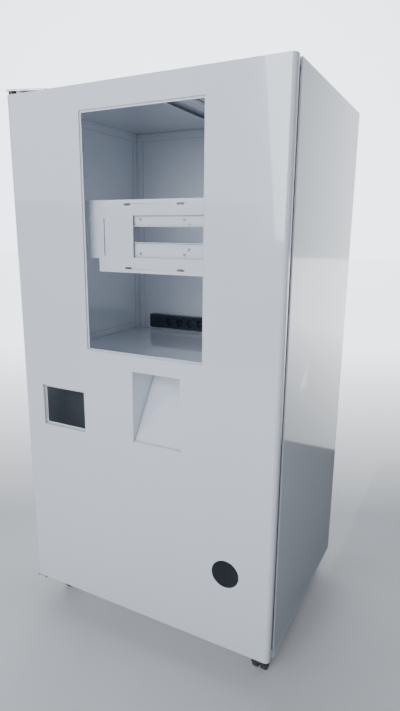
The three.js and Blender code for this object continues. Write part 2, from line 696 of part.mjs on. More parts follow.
function makeStiffeners() {
  const reach = bracketHalf + BRACKET_FOOT / 2;
  makeStiffener('door_stiffener_left', windowX - reach, paymentTop + STIFFENER_CLEARANCE);
  makeStiffener('door_stiffener_right', windowX + reach,
    portZ + PORT_RADIUS + STIFFENER_CLEARANCE);
}

function makeBracket() {
  const half = BRACKET_SHEET / 2;
  const foot = stiffenerBack + FIT + half;
  const plate = plateBack - half;
  const x0 = windowX - bracketHalf;
  const x1 = windowX + bracketHalf;
  const section = foldedStrip(
    [[x0 - BRACKET_FOOT, foot], [x0, foot], [x0, plate], [x1, plate], [x1, foot],
      [x1 + BRACKET_FOOT, foot]], BRACKET_SHEET);
  const y0 = foot - half - PAST;
  const y1 = plateBack + PAST;
  const tools = [];
  for (const side of [-1, 1]) {
    const edge = windowX + side * bracketHalf;
    const past = edge + side * (BRACKET_FOOT + PAST);
    const ear = edge - side * EAR_WIDTH;
    const heel = edge - side * HEEL_WIDTH;
    tools.push(block(Math.min(ear, past), Math.max(ear, past), y0, y1,
      bracketBottom - PAST, bracketBottom + EAR_RISE));
    tools.push(block(Math.min(heel, past), Math.max(heel, past), y0, y1,
      bracketBottom - PAST, bracketBottom + HEEL_RISE));
  }
  const slot = (x, z, { width, height }) => alongY(
    rectangle(x - width / 2, x + width / 2, z - height / 2, z + height / 2,
      (Math.min(width, height) - SLOT_END_FLAT) / 2), y0, y1);
  for (const x of EAR_SLOT.fromMiddle) {
    tools.push(slot(windowX + x, windowZ - EAR_SLOT.drop, EAR_SLOT));
  }
  for (const x of PLATE_SLOT.fromMiddle) {
    tools.push(slot(windowX + x, bracketTop - PLATE_SLOT.inset, PLATE_SLOT));
    tools.push(slot(windowX + x, bracketBottom + PLATE_SLOT.inset, PLATE_SLOT));
  }
  const cutX = windowX + CUTOUT_FROM_MIDDLE;
  tools.push(block(cutX - CUTOUT_WIDTH / 2, cutX + CUTOUT_WIDTH / 2, y0, y1,
    windowZ - CUTOUT_HEIGHT / 2, windowZ + CUTOUT_HEIGHT / 2));
  for (const side of [-1, 1]) {
    tools.push(barY(cutX + CUTOUT_WIDTH / 2, windowZ + (side * CUTOUT_HEIGHT) / 2,
      CUTOUT_RELIEF_RADIUS, y0, y1, SMALL_ROUND));
  }
  addMesh('display_bracket', cut(alongZ(section, bracketBottom, bracketTop), ...tools), whiteCoat());
}

// A channel behind the bracket, its flanges forward against the bracket's back, and its holes at the
// height given, on the side of the window's middle that sign gives.
function makeRail(name, sign, { height, belowHoles }) {
  const half = BRACKET_SHEET / 2;
  const near = plateBack + FIT;
  const far = near + RAIL_DEPTH - half;
  const x0 = windowX + RAIL_FROM_MIDDLE - RAIL_LENGTH / 2;
  const holeZ = windowZ + (sign * SCREEN_MOUNT_PITCH) / 2;
  const z0 = holeZ - belowHoles;
  const z1 = z0 + height;
  const section = foldedStrip(
    [[near, z0 + half], [far, z0 + half], [far, z1 - half], [near, z1 - half]], BRACKET_SHEET);
  const holes = SCREEN_HOLES.map(([x, inward]) => barY(windowX + x, holeZ - sign * inward,
    SCREEN_HOLE_RADIUS, far - half - PAST, far + half + PAST, SMALL_ROUND));
  addMesh(name, cut(alongX(section, x0, x0 + RAIL_LENGTH), ...holes), whiteCoat());
}

function makeSeal() {
  const x0 = left + SEAL_FROM_EDGE;
  const x1 = right - SEAL_FROM_LATCH_EDGE;
  const height = top - doorBottom - 2 * SEAL_FROM_EDGE;
  addMesh('door_gasket',
    ringY((x0 + x1) / 2, (top + doorBottom) / 2, x1 - x0, height, SEAL_WIDTH,
      doorBack + FIT, front - FIT), blackRubber());
}

function makeCatch(end, z) {
  const x1 = right - SIDE_FLANGE - CATCH_CLEARANCE;
  const x0 = x1 - CATCH_WIDTH;
  const z0 = z - CATCH_HEIGHT / 2;
  const z1 = z + CATCH_HEIGHT / 2;
  const ear = front + CABINET_SHEET + FIT;
  addMesh(`door_catch_${end}`, join(
    block(x0, x1, front + FIT, front + CATCH_DEPTH, z0, z1),
    block(x0, right - SIDE_FLANGE / 2, ear, ear + CATCH_EAR, z0, z1)), blackPlastic());
  addMesh(`catch_keeper_${end}`,
    block(x0, x1, doorBack + FIT, front - FIT, z0 + KEEPER_INSET, z1 - KEEPER_INSET), zincPlate());
}

// ---------------------------------------------------------------- socket strip

function makeStripBody() {
  const x1 = stripLeft + stripLength;
  const y1 = stripFace + STRIP_DEPTH;
  const top1 = stripBottom + STRIP_HEIGHT;
  const w = STRIP_WALL;
  const rockerX = stripLeft + ROCKER_FROM_END;
  const room = ROCKER_SIZE / 2 + ROCKER_CLEARANCE;
  const tools = [
    block(stripLeft + w, x1 - w, stripFace + w, y1 - w, stripBottom - PAST, top1 - w),
    block(rockerX - room, rockerX + room, stripFace - PAST, stripFace + w + PAST,
      stripZ - room, stripZ + room),
    barX(stripFace + STRIP_DEPTH / 2, stripZ, GLAND_RADIUS + FIT, x1 - w - PAST, x1 + PAST),
  ];
  for (let i = 0; i < SOCKET_COUNT; i += 1) {
    tools.push(barY(stripLeft + SOCKET_FROM_END + i * SOCKET_PITCH, stripZ,
      SOCKET_RADIUS + SOCKET_WALL + FIT, stripFace - PAST, stripFace + w + PAST));
  }
  addMesh('power_strip_body', cut(
    alongX(rectangle(stripFace, y1, stripBottom, top1, STRIP_CORNER), stripLeft, x1),
    ...tools), blackPlastic());
}

function makeStripBase() {
  const half = STRIP_WALL / 2;
  const y0 = stripFace + STRIP_WALL + half;
  const y1 = stripFace + STRIP_DEPTH - STRIP_WALL - half;
  const z0 = shelfTop + FIT;
  const z1 = stripBottom - FIT - half;
  addMesh('power_strip_base', alongX(
    foldedStrip([[y0, z0], [y0, z1], [y1, z1], [y1, z0]], STRIP_WALL),
    stripLeft + STRIP_BASE_INSET, stripLeft + stripLength - STRIP_BASE_INSET), brightSteel());
}

function makeSocket(index) {
  const x = stripLeft + SOCKET_FROM_END + index * SOCKET_PITCH;
  const y0 = stripFace - SOCKET_PROUD;
  const y1 = y0 + SOCKET_DEPTH + SOCKET_FLOOR;
  const contact = (side) => barY(
    x + (side * CONTACT_SPACING) / 2, stripZ, CONTACT_RADIUS, y0, y1 + PAST, TINY_ROUND);
  addMesh(`socket_${index + 1}`, cut(
    barY(x, stripZ, SOCKET_RADIUS + SOCKET_WALL, y0, y1),
    barY(x, stripZ, SOCKET_RADIUS, y0 - PAST, y0 + SOCKET_DEPTH),
    contact(-1), contact(1)), blackPlastic());
}

// The rocker's end view: two flats that meet in a shallow valley, and round ends about its pivot,
// so that it turns in its square opening.
function makeRocker() {
  const reach = ROCKER_SIZE / 2;
  const outline = new THREE.Shape();
  const endY = -ROCKER_PIVOT_DEPTH - ROCKER_PROUD;
  const spread = Math.asin(-endY / reach);
  outline.moveTo(0, -ROCKER_PROUD);
  outline.lineTo(endY, -reach * Math.cos(spread));
  outline.absarc(0, 0, reach, -Math.PI / 2 - spread, -Math.PI / 2, false);
  outline.lineTo(ROCKER_BODY, -reach * ROCKER_TAPER).lineTo(ROCKER_BODY, reach * ROCKER_TAPER);
  outline.lineTo(0, reach);
  outline.absarc(0, 0, reach, Math.PI / 2, Math.PI / 2 + spread, false);
  outline.closePath();
  const x = stripLeft + ROCKER_FROM_END;
  const rocker = alongX(outline, -ROCKER_SIZE / 2 + FIT, ROCKER_SIZE / 2 - FIT);
  const mesh = addMesh('power_strip_rocker', rocker, blackPlastic());
  mesh.position.set(x, stripFace + ROCKER_PIVOT_DEPTH, stripZ);
  mesh.rotation.x = ROCKER_TILT * DEGREE;
}

function makeGland() {
  const x0 = stripLeft + stripLength;
  const y = stripFace + STRIP_DEPTH / 2;
  const inside = x0 - STRIP_WALL;
  addMesh('power_strip_gland', cut(
    join(
      barX(y, stripZ, GLAND_RADIUS, inside, x0 + GLAND_LENGTH),
      barX(y, stripZ, GLAND_RADIUS + GLAND_NUT.overhang, x0 + FIT, x0 + GLAND_NUT.length)),
    barX(y, stripZ, LEAD_RADIUS, inside - PAST, x0 + GLAND_LENGTH + PAST)), blackPlastic());
}

// ---------------------------------------------------------------- casters

// A wheel about the X axis: a tread with bevelled edges and a dished outer face.
function wheelGeometry(outward) {
  const half = WHEEL_WIDTH / 2;
  const bore = AXLE_RADIUS + FIT;
  const rim = WHEEL_RADIUS - WHEEL_EDGE;
  const points = [new THREE.Vector2(bore, -half)];
  for (const [middle, start] of [[-half + WHEEL_EDGE, -90], [half - WHEEL_EDGE, 0]]) {
    for (const angle of [start * DEGREE, (start + 90) * DEGREE]) {
      points.push(new THREE.Vector2(
        rim + WHEEL_EDGE * Math.cos(angle), middle + WHEEL_EDGE * Math.sin(angle)));
    }
  }
  points.push(new THREE.Vector2(rim - WHEEL_EDGE, half - WHEEL_DISH));
  points.push(new THREE.Vector2(bore, half - WHEEL_DISH), new THREE.Vector2(bore, -half));
  const wheel = new THREE.LatheGeometry(points, WHEEL_SIDES);
  return wheel.rotateZ(outward > 0 ? -Math.PI / 2 : Math.PI / 2);
}

// The hood over both wheels, the web between them that holds the axle, and the swivel's neck.
function hoodGeometry() {
  const web = WHEEL_SPACING / 2 - HOOD_WEB_GAP;
  const reach = WHEEL_SPACING / 2 + WHEEL_WIDTH + HOOD_PAST_WHEEL;
  const [from, to] = HOOD_ENDS.map((end) => end * DEGREE);
  const inner = WHEEL_RADIUS + HOOD_GAP;
  const middle = hoodRadius - HOOD_WALL / 2;
  const fender = new THREE.Shape();
  fender.absarc(-CASTER_TRAIL, WHEEL_RADIUS, hoodRadius, from, to, false);
  fender.absarc(-CASTER_TRAIL, WHEEL_RADIUS, inner, to, from, true);
  const sector = new THREE.Shape();
  sector.absarc(-CASTER_TRAIL, WHEEL_RADIUS, middle, from, to, false);
  sector.absarc(-CASTER_TRAIL, WHEEL_RADIUS, AXLE_RADIUS + HOOD_BOSS,
    to + HOOD_BOSS_WRAP, from - HOOD_BOSS_WRAP + 2 * Math.PI, false);
  const neck = cut(
    barZ(0, 0, RACE_RADIUS, swivelZ - NECK_DEPTH, swivelZ),
    barX(-CASTER_TRAIL, WHEEL_RADIUS, inner, -reach - PAST, reach + PAST, WHEEL_SIDES));
  return cut(
    join(alongX(fender, -reach, reach, ROUND / 2), alongX(sector, -web, web, ROUND / 2), neck),
    barZ(0, 0, KINGPIN_RADIUS + FIT, swivelZ - KINGPIN_LENGTH - PAST, swivelZ + PAST, SMALL_ROUND),
    barX(-CASTER_TRAIL, WHEEL_RADIUS, AXLE_RADIUS + FIT, -web - PAST, web + PAST));
}

function makeCaster(corner, x, y, heading) {
  const half = MOUNT_SIZE / 2;
  const plate = swivelZ + FIT + RACE_HEIGHT;
  addMesh(`caster_mount_${corner}`, join(
    alongZ(rectangle(x - half, x + half, y - half, y + half, MOUNT_CORNER), plate, plate + MOUNT_PLATE),
    barZ(x, y, RACE_RADIUS, swivelZ + FIT, plate + PAST),
    barZ(x, y, KINGPIN_RADIUS, swivelZ - KINGPIN_LENGTH, swivelZ + PAST, SMALL_ROUND)), zincPlate());

  const turning = new THREE.Group();
  turning.position.set(x, y, 0);
  turning.rotation.z = heading * DEGREE;
  group.add(turning);
  const axleHalf = WHEEL_SPACING / 2 + WHEEL_WIDTH - AXLE_INSET;
  addMesh(`caster_hood_${corner}`, hoodGeometry(), blackPlastic(), turning);
  addMesh(`caster_axle_${corner}`,
    barX(-CASTER_TRAIL, WHEEL_RADIUS, AXLE_RADIUS, -axleHalf, axleHalf), brightSteel(), turning);
  for (const [side, outward] of [['a', -1], ['b', 1]]) {
    const wheel = addMesh(`caster_wheel_${corner}_${side}`, wheelGeometry(outward),
      greyTread(), turning);
    wheel.position.set(outward * (WHEEL_SPACING + WHEEL_WIDTH) / 2, -CASTER_TRAIL, WHEEL_RADIUS);
  }
}

function makeCasters() {
  const x0 = left + CASTER_FROM_SIDE;
  const x1 = right - CASTER_FROM_SIDE;
  const y0 = front + CASTER_FROM_END;
  const y1 = back - CASTER_FROM_END;
  makeCaster('front_left', x0, y0, 90);
  makeCaster('front_right', x1, y0, 0);
  makeCaster('rear_left', x0, y1, 60);
  makeCaster('rear_right', x1, y1, -105);
}

// ---------------------------------------------------------------- assembly

makeCabinetShell();
makePost('rear_left_post', innerLeft, 1);
makePost('rear_right_post', innerRight, -1);
makeShelf();
makeRoofBeam();
makeWallPlate();
makeTopHinge();
makeBottomHinge();
makeBushes();
makeDoorSkin();
makeWindowFrame();
makePaymentFrame();
makeChute();
makeStiffeners();
makeBracket();
makeRail('display_rail_upper', 1, UPPER_RAIL);
makeRail('display_rail_lower', -1, LOWER_RAIL);
makeSeal();
makeCatch('upper', top - CATCH_FROM_END);
makeCatch('lower', doorBottom + CATCH_FROM_END);
makeStripBody();
makeStripBase();
for (let i = 0; i < SOCKET_COUNT; i += 1) {
  makeSocket(i);
}
makeRocker();
makeGland();
makeCasters();

export default group;
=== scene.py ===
"""A vending machine cabinet in powder-coated sheet steel, finished for a close look.

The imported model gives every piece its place. Folded pieces are made here as a sheet-metal shop makes
them: a flat blank with its openings cut out, then folded along straight lines. Lengths are in metres.
"""
import json
import math

import bmesh
import bpy
import numpy as np
from mathutils import Euler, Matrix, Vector
from mathutils.geometry import delaunay_2d_cdt


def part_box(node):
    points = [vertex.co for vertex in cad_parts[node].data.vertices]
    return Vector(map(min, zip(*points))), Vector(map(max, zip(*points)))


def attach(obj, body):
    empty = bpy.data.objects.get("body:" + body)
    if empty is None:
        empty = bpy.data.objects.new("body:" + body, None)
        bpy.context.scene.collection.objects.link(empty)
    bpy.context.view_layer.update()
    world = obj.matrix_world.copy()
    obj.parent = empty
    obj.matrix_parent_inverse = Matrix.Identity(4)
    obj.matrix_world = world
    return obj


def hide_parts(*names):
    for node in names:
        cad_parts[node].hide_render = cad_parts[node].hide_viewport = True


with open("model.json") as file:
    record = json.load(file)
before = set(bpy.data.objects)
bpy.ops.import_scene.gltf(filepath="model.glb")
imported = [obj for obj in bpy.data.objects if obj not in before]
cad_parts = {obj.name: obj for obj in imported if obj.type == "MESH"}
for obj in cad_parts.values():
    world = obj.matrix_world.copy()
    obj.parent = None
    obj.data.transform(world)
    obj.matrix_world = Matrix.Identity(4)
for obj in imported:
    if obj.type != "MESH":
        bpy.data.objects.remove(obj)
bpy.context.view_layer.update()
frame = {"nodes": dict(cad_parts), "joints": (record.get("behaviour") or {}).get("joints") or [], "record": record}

# ---------------------------------------------------------------- sizes

SHEET = 0.002
THIN_SHEET = 0.0015
GAP = 0.0003  # between pieces that touch
FOLD_RADIUS = 0.0025  # of a folded sheet's middle line
FOLD_STEPS = 6
EDGE_SOFTNESS = 0.0004  # the coat's radius on a cut edge

DOOR_EDGE_RADIUS = 0.014
DOOR_EDGE_STEPS = 14
DOOR_LIP = 0.058
BUSH_HOLE = 0.0086
FRAME_FLANGE = 0.012  # behind the door's face, round an opening
WINDOW_CORNER = 0.004
WINDOW_LIP = 0.006
WINDOW_STEP = 0.004
PAYMENT_RECESS = 0.0095
PAYMENT_LIP = 0.008
PAYMENT_HOLES = 14
PAYMENT_HOLE_PITCH = 0.008
PAYMENT_HOLE_RADIUS = 0.002
CHUTE_LEDGE = 0.008
CHUTE_RISE = 0.016
CHUTE_RELIEF = 0.003
PORT_RADIUS = 0.0455
BRACKET_FOOT = 0.018
BRACKET_EAR = (0.059, 0.041)  # width and height cut away below each ear
BRACKET_HEEL = (0.010, 0.075)
BRACKET_CUTOUT = (0.061, 0.120, 0.062)  # its middle's place, half its width and half its height
EAR_SLOT = (0.002, 0.057)
PLATE_SLOT = (0.0125, 0.0035)
PLATE_SLOT_INSET = 0.014
EAR_SLOT_PLACES = (-0.225, -0.167)  # in X, from the bracket's middle
EAR_SLOT_DROP = 0.002
EAR_SLOT_RADIUS = 0.0018
PLATE_SLOT_PLACES = (-0.079, 0.106)
PLATE_SLOT_RADIUS = 0.0033
BRACKET_RELIEF = 0.003
PAST_THE_FOLD = 0.2  # a cut that runs off the sheet's end
RAIL_HOLE_RISE = 0.050  # above and below the bracket's middle
RAIL_HOLE_PLACES = ((-0.038, 0.0), (0.114, 0.0), (0.129, 0.015))  # in X, and towards the middle in Z
RAIL_HOLE = 0.0026
STIFFENER_FOOT = 0.010
SEAL_WIDTH = 0.014

SIDE_FLANGE = 0.036
ROOF_FLANGE = 0.034
FLOOR_FLANGE = 0.046
POST_LEG = 0.031
BEAM_LIP = 0.031
FLANGE_HOLES = (-0.24, 0.062, 0.299)  # places in Y
FLANGE_HOLE = 0.0028
FLANGE_HOLE_SHIFT = 0.003  # from the flange's middle, away from the fold
FLANGE_HOLE_INSETS = (0.020, 0.11)  # from each end of a front or back flange
SHELF_CLEARANCE = 0.003  # between the shelf's cut corners and the posts

BEAM_WEB_SCREWS = ((0.0, -0.19), (0.003, 0.031), (0.0, 0.27))  # from the beam's middle in X, and Y
BEAM_LIP_SCREWS = (-0.22, 0.117, 0.30)  # places in Y
BEAM_LIP_SCREW_INSET = 0.018
BEAM_SCREW = (0.004, 0.0016)  # a head's radius and height
BACK_SCREW = (0.0045, 0.0024)
BACK_SCREW_INSET = 0.014
BACK_SCREW_ROWS = 8

# ---------------------------------------------------------------- camera, floor and light

CAMERA_PLACE = (0.8993, -1.6496, 1.3724)
CAMERA_TURN = (76.889, -0.566, 27.723)  # degrees about X, Y and Z
CAMERA_LENS = 26.42
ROOM_LIGHT = 0.24
BACKDROP_LIGHT = 4.0
BACKDROP_DIRECTION = (-0.47, 0.88, 0.0)
FLOOR_GLOW = 2.6


def place_camera():
    """A camera at standing height, in front of the machine and to its right."""
    camera = bpy.data.objects.new("camera", bpy.data.cameras.new("camera"))
    camera.data.lens = CAMERA_LENS
    camera.data.sensor_width = 36
    camera.location = CAMERA_PLACE
    camera.rotation_euler = Euler([math.radians(angle) for angle in CAMERA_TURN], "XYZ")
    bpy.context.scene.collection.objects.link(camera)
    bpy.context.scene.camera = camera


def softbox(name, place, target, width, height, power, colour):
    """A rectangular lamp that faces its target and isn't seen itself."""
    lamp = bpy.data.lights.new(name, "AREA")
    lamp.shape = "RECTANGLE"
    lamp.size = width
    lamp.size_y = height
    lamp.energy = power
    lamp.color = colour
    box = bpy.data.objects.new(name, lamp)
    box.location = place
    box.rotation_euler = (Vector(target) - Vector(place)).to_track_quat("-Z", "Y").to_euler()
    box.visible_camera = False
    bpy.context.scene.collection.objects.link(box)


def light_studio():
    """Soft lamps in front, a faint one inside, a bright backdrop behind and a dimmer room round it all.
    The room's light is the low value plus a smooth step of direction . backdrop direction."""
    world = bpy.data.worlds.new("studio")
    world.use_nodes = True
    nodes, links = world.node_tree.nodes, world.node_tree.links
    background = nodes["Background"]
    background.inputs["Color"].default_value = (0.88, 0.94, 1.0, 1)
    facing = nodes.new("ShaderNodeVectorMath")
    facing.operation = "DOT_PRODUCT"
    facing.inputs[1].default_value = BACKDROP_DIRECTION
    links.new(nodes.new("ShaderNodeTexCoord").outputs["Generated"], facing.inputs[0])
    brightness = nodes.new("ShaderNodeMapRange")
    brightness.interpolation_type = "SMOOTHSTEP"
    limits = {"From Min": 0.5, "From Max": 1.0, "To Min": ROOM_LIGHT, "To Max": BACKDROP_LIGHT}
    for socket, number in limits.items():
        brightness.inputs[socket].default_value = number
    links.new(facing.outputs["Value"], brightness.inputs["Value"])
    links.new(brightness.outputs["Result"], background.inputs["Strength"])
    bpy.context.scene.world = world
    softbox("left_softbox", (-2.4, -3.6, 2.9), (0, 0, 1.1), 3.2, 2.6, 32, (0.88, 0.93, 1.0))
    softbox("front_softbox", (0.2, -3.7, 2.2), (-0.25, 0.2, 1.3), 2.2, 1.8, 98, (0.88, 0.93, 1.0))
    softbox("inner_softbox", (0.33, -0.18, 1.35), (-0.4, 0.05, 1.1), 0.2, 0.9, 0.42, (0.86, 0.93, 1.0))


# ---------------------------------------------------------------- finishes


class Finish:
    """A material: one principled shader, and the nodes that vary it over the piece's own coordinates."""

    def __init__(self, name, colour, roughness, metallic=0.0, **settings):
        self.material = bpy.data.materials.new(name)
        self.material.use_nodes = True
        self.tree = self.material.node_tree
        self.shader = self.tree.nodes["Principled BSDF"]
        self.coordinates = self.add("ShaderNodeTexCoord").outputs["Object"]
        self.set(**{"Base Color": (*colour, 1), "Roughness": roughness, "Metallic": metallic})
        self.set(**settings)
        self.height = None

    def set(self, **settings):
        """Sets sockets of the shader to plain values."""
        for socket, value in settings.items():
            self.shader.inputs[socket].default_value = value

    def add(self, kind, **inputs):
        """A new node, with its named inputs linked or set."""
        node = self.tree.nodes.new(kind)
        for socket, value in inputs.items():
            self.give(node.inputs[socket], value)
        return node

    def give(self, socket, value):
        """Links a socket to another node's output, or sets it to a value."""
        if isinstance(value, bpy.types.NodeSocket):
            self.tree.links.new(value, socket)
        else:
            socket.default_value = value

    def stretched(self, scale):
        """The piece's coordinates, scaled along each axis."""
        node = self.add("ShaderNodeMapping", Vector=self.coordinates)
        node.inputs["Scale"].default_value = scale
        return node.outputs["Vector"]

    def noise(self, scale, detail=3, stretch=None):
        """Noise over the piece, about 0.5 on average."""
        where = self.stretched(stretch) if stretch else self.coordinates
        node = self.add("ShaderNodeTexNoise", Vector=where, Scale=scale, Detail=detail)
        return node.outputs["Fac"]

    def spread(self, value, low, high, start=0.35, end=0.65):
        """The value's stretch from start to end, carried to low and high and held there."""
        node = self.add("ShaderNodeMapRange", Value=value)
        for socket, number in (("From Min", start), ("From Max", end), ("To Min", low), ("To Max", high)):
            node.inputs[socket].default_value = number
        return node.outputs["Result"]

    def tint(self, value, colour):
        """Mixes that colour into what the base colour already is."""
        base = self.shader.inputs["Base Color"]
        mix = self.add("ShaderNodeMix")
        mix.data_type = "RGBA"
        first, second = mix.inputs[6], mix.inputs[7]
        if base.is_linked:
            self.give(first, base.links[0].from_socket)
        else:
            first.default_value = base.default_value
        second.default_value = (*colour, 1)
        self.give(mix.inputs[0], value)
        self.tree.links.new(mix.outputs[2], base)

    def crevice(self, reach, most=0.6):
        """How far a point is shut in by what stands within that reach of it, from 0 to most."""
        node = self.add("ShaderNodeAmbientOcclusion", Distance=reach)
        node.samples = 6
        return self.spread(node.outputs["AO"], most, 0.0, 0.25, 0.85)

    def rough(self, value):
        """Lets a value drive the roughness."""
        self.give(self.shader.inputs["Roughness"], value)

    def bump(self, height, depth, strength=1.0):
        """Raises the surface by that depth in metres where height is 1, on top of any bump before."""
        node = self.add("ShaderNodeBump", Height=height)
        node.inputs["Distance"].default_value = depth
        node.inputs["Strength"].default_value = strength
        if self.height:
            self.give(node.inputs["Normal"], self.height)
        self.height = node.outputs["Normal"]
        self.tree.links.new(self.height, self.shader.inputs["Normal"])

    def axis(self, name):
        """One of the piece's coordinates: X, Y or Z."""
        return self.add("ShaderNodeSeparateXYZ", Vector=self.coordinates).outputs[name]


def make_white_coat():
    """Gloss powder coat: a fine orange peel, the sheet's own slow waves, painted shade low down, and
    painted shade in the seams and corners."""
    gloss = {"IOR": 1.5, "Coat Weight": 1.0, "Coat Roughness": 0.03}
    coat = Finish("white_coat", (0.805, 0.84, 0.905), 0.14, **gloss)
    coat.tint(coat.spread(coat.noise(1.7, 2), 0.0, 0.5), (0.79, 0.828, 0.905))
    coat.tint(coat.spread(coat.noise(900, 2), 0.0, 0.25, 0.62, 0.72), (0.62, 0.65, 0.70))
    # painted shade: the coat darkens towards the floor, below about 0.42 m
    coat.tint(coat.spread(coat.axis("Z"), 0.18, 0.0, 0.07, 0.42), (0.70, 0.71, 0.73))
    # painted shade: darker in seams, corners and recesses, from the ambient-occlusion mask
    coat.tint(coat.crevice(0.012), (0.20, 0.22, 0.27))
    coat.rough(coat.spread(coat.noise(6, 4), 0.11, 0.19))
    coat.bump(coat.noise(2.6, 1), 0.0012, 0.6)
    coat.bump(coat.noise(330, 2), 0.000006)
    return coat.material


def make_black_plastic():
    """Moulded black plastic with a fine spark-eroded texture and a trace of dust."""
    plastic = Finish("black_plastic", (0.018, 0.023, 0.036), 0.32, **{"IOR": 1.5})
    plastic.tint(plastic.spread(plastic.noise(45, 5), 0.0, 0.6), (0.032, 0.038, 0.054))
    plastic.rough(plastic.spread(plastic.noise(120, 3), 0.26, 0.42))
    plastic.bump(plastic.noise(1600, 2), 0.00002)
    return plastic.material


def make_seal_rubber():
    """Extruded black rubber: matt, with faint lines along it."""
    rubber = Finish("seal_rubber", (0.018, 0.018, 0.020), 0.62)
    rubber.tint(rubber.spread(rubber.noise(60, 4), 0.0, 0.5), (0.045, 0.045, 0.047))
    rubber.rough(rubber.spread(rubber.noise(200, 2), 0.55, 0.75))
    rubber.bump(rubber.noise(700, 2, (1, 1, 0.08)), 0.00004)
    return rubber.material


def make_zinc_plate():
    """Zinc-plated steel: a soft mottled shine, rolled lines and dulled patches."""
    zinc = Finish("zinc_plate", (0.60, 0.62, 0.64), 0.34, 1.0)
    crystals = zinc.add("ShaderNodeTexVoronoi", Vector=zinc.coordinates, Scale=210.0)
    zinc.tint(zinc.spread(crystals.outputs["Distance"], 0.0, 0.5, 0.1, 0.7), (0.47, 0.49, 0.52))
    zinc.tint(zinc.spread(zinc.noise(35, 5), 0.0, 0.6), (0.66, 0.66, 0.65))
    zinc.rough(zinc.spread(zinc.noise(70, 4), 0.28, 0.48))
    zinc.bump(zinc.noise(420, 3, (0.1, 1, 1)), 0.00002)
    return zinc.material


def make_bright_steel():
    """Ground steel bar: fine rings round the bar, and a thin film of oil."""
    steel = Finish("bright_steel", (0.66, 0.66, 0.67), 0.22, 1.0)
    steel.tint(steel.spread(steel.noise(90, 4), 0.0, 0.5), (0.52, 0.51, 0.50))
    steel.rough(steel.spread(steel.noise(240, 3), 0.16, 0.32))
    steel.bump(steel.noise(60, 2, (1, 1, 40)), 0.00001)
    return steel.material


def make_strip_aluminium():
    """Anodised aluminium, brushed along its length."""
    metal = Finish("strip_aluminium", (0.70, 0.71, 0.73), 0.3, 1.0)
    metal.tint(metal.spread(metal.noise(300, 3, (0.03, 1, 1)), 0.0, 0.5), (0.55, 0.56, 0.58))
    metal.rough(metal.spread(metal.noise(500, 2, (0.03, 1, 1)), 0.24, 0.40))
    metal.bump(metal.noise(900, 2, (0.02, 1, 1)), 0.000008)
    return metal.material


def make_white_nylon():
    """Turned nylon: slightly milky, with faint tool marks."""
    nylon = Finish("white_nylon", (0.72, 0.73, 0.74), 0.36, **{"Subsurface Weight": 0.15})
    nylon.set(**{"Subsurface Scale": 0.002})
    nylon.tint(nylon.spread(nylon.noise(80, 4), 0.0, 0.5), (0.62, 0.62, 0.60))
    nylon.rough(nylon.spread(nylon.noise(160, 3), 0.30, 0.45))
    nylon.bump(nylon.noise(90, 2, (1, 1, 25)), 0.00002)
    return nylon.material


def make_grey_tread():
    """A hard grey-brown tread, scuffed and with floor dust in its grain."""
    tread = Finish("grey_tread", (0.036, 0.034, 0.033), 0.55)
    tread.tint(tread.spread(tread.noise(60, 5), 0.0, 0.8), (0.075, 0.069, 0.063))
    tread.tint(tread.spread(tread.noise(380, 4), 0.0, 0.5, 0.52, 0.68), (0.16, 0.15, 0.14))
    tread.rough(tread.spread(tread.noise(150, 4), 0.45, 0.75))
    tread.bump(tread.noise(520, 4), 0.00008)
    return tread.material


MATERIALS = {
    "white_coat": make_white_coat(),
    "black_plastic": make_black_plastic(),
    "seal_rubber": make_seal_rubber(),
    "zinc_plate": make_zinc_plate(),
    "bright_steel": make_bright_steel(),
    "strip_aluminium": make_strip_aluminium(),
    "white_nylon": make_white_nylon(),
    "grey_tread": make_grey_tread(),
}


def finish_cad_nodes():
    """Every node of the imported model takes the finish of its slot."""
    for row in frame["record"]["subparts"]:
        node = frame["nodes"][row["node"]]
        node.data.materials.clear()
        node.data.materials.append(MATERIALS[row["material_slot"]])


def lay_floor():
    """A wide flat floor in pale matt paint, paler away from the machine and lit from within far
    behind it, where it meets the backdrop."""
    side = 30
    steps = np.linspace(-side, side, 3)
    x, y = np.meshgrid(steps, steps)
    points = np.stack([x.ravel(), y.ravel(), np.zeros(x.size)], 1)
    mesh = bpy.data.meshes.new("floor")
    mesh.from_pydata(points, [], grid_faces(3, 3).tolist())
    floor = bpy.data.objects.new("floor", mesh)
    paint = Finish("floor_paint", (0.70, 0.70, 0.71), 0.6)
    away = paint.add("ShaderNodeVectorMath")
    away.operation = "LENGTH"
    paint.give(away.inputs[0], paint.coordinates)
    # painted light: the floor grows paler away from the machine, fading into the bright backdrop
    paint.tint(paint.spread(away.outputs["Value"], 0.0, 1.0, 1.0, 3.6), (0.88, 0.88, 0.88))
    paint.tint(paint.spread(paint.noise(3, 4), 0.0, 0.3), (0.77, 0.77, 0.78))
    behind = paint.add("ShaderNodeVectorMath")
    behind.operation = "DOT_PRODUCT"
    behind.inputs[1].default_value = BACKDROP_DIRECTION
    paint.give(behind.inputs[0], paint.coordinates)
    paint.set(**{"Emission Color": (0.94, 0.97, 1.0, 1)})
    paint.give(paint.shader.inputs["Emission Strength"],
               paint.spread(behind.outputs["Value"], 0.0, FLOOR_GLOW, 0.5, 4.5))
    mesh.materials.append(paint.material)
    bpy.context.scene.collection.objects.link(floor)


def put_card(name, corners):
    """A black card that only shows as a reflection in the gloss."""
    mesh = bpy.data.meshes.new(name)
    mesh.from_pydata(corners, [], [(0, 1, 2, 3)])
    black = Finish(f"{name}_black", (0.05, 0.05, 0.06), 0.8)
    black.tint(black.spread(black.noise(40, 4), 0.0, 0.5), (0.08, 0.08, 0.085))
    mesh.materials.append(black.material)
    card = bpy.data.objects.new(name, mesh)
    card.visible_camera = card.visible_diffuse = card.visible_shadow = False
    bpy.context.scene.collection.objects.link(card)


# ---------------------------------------------------------------- surfaces


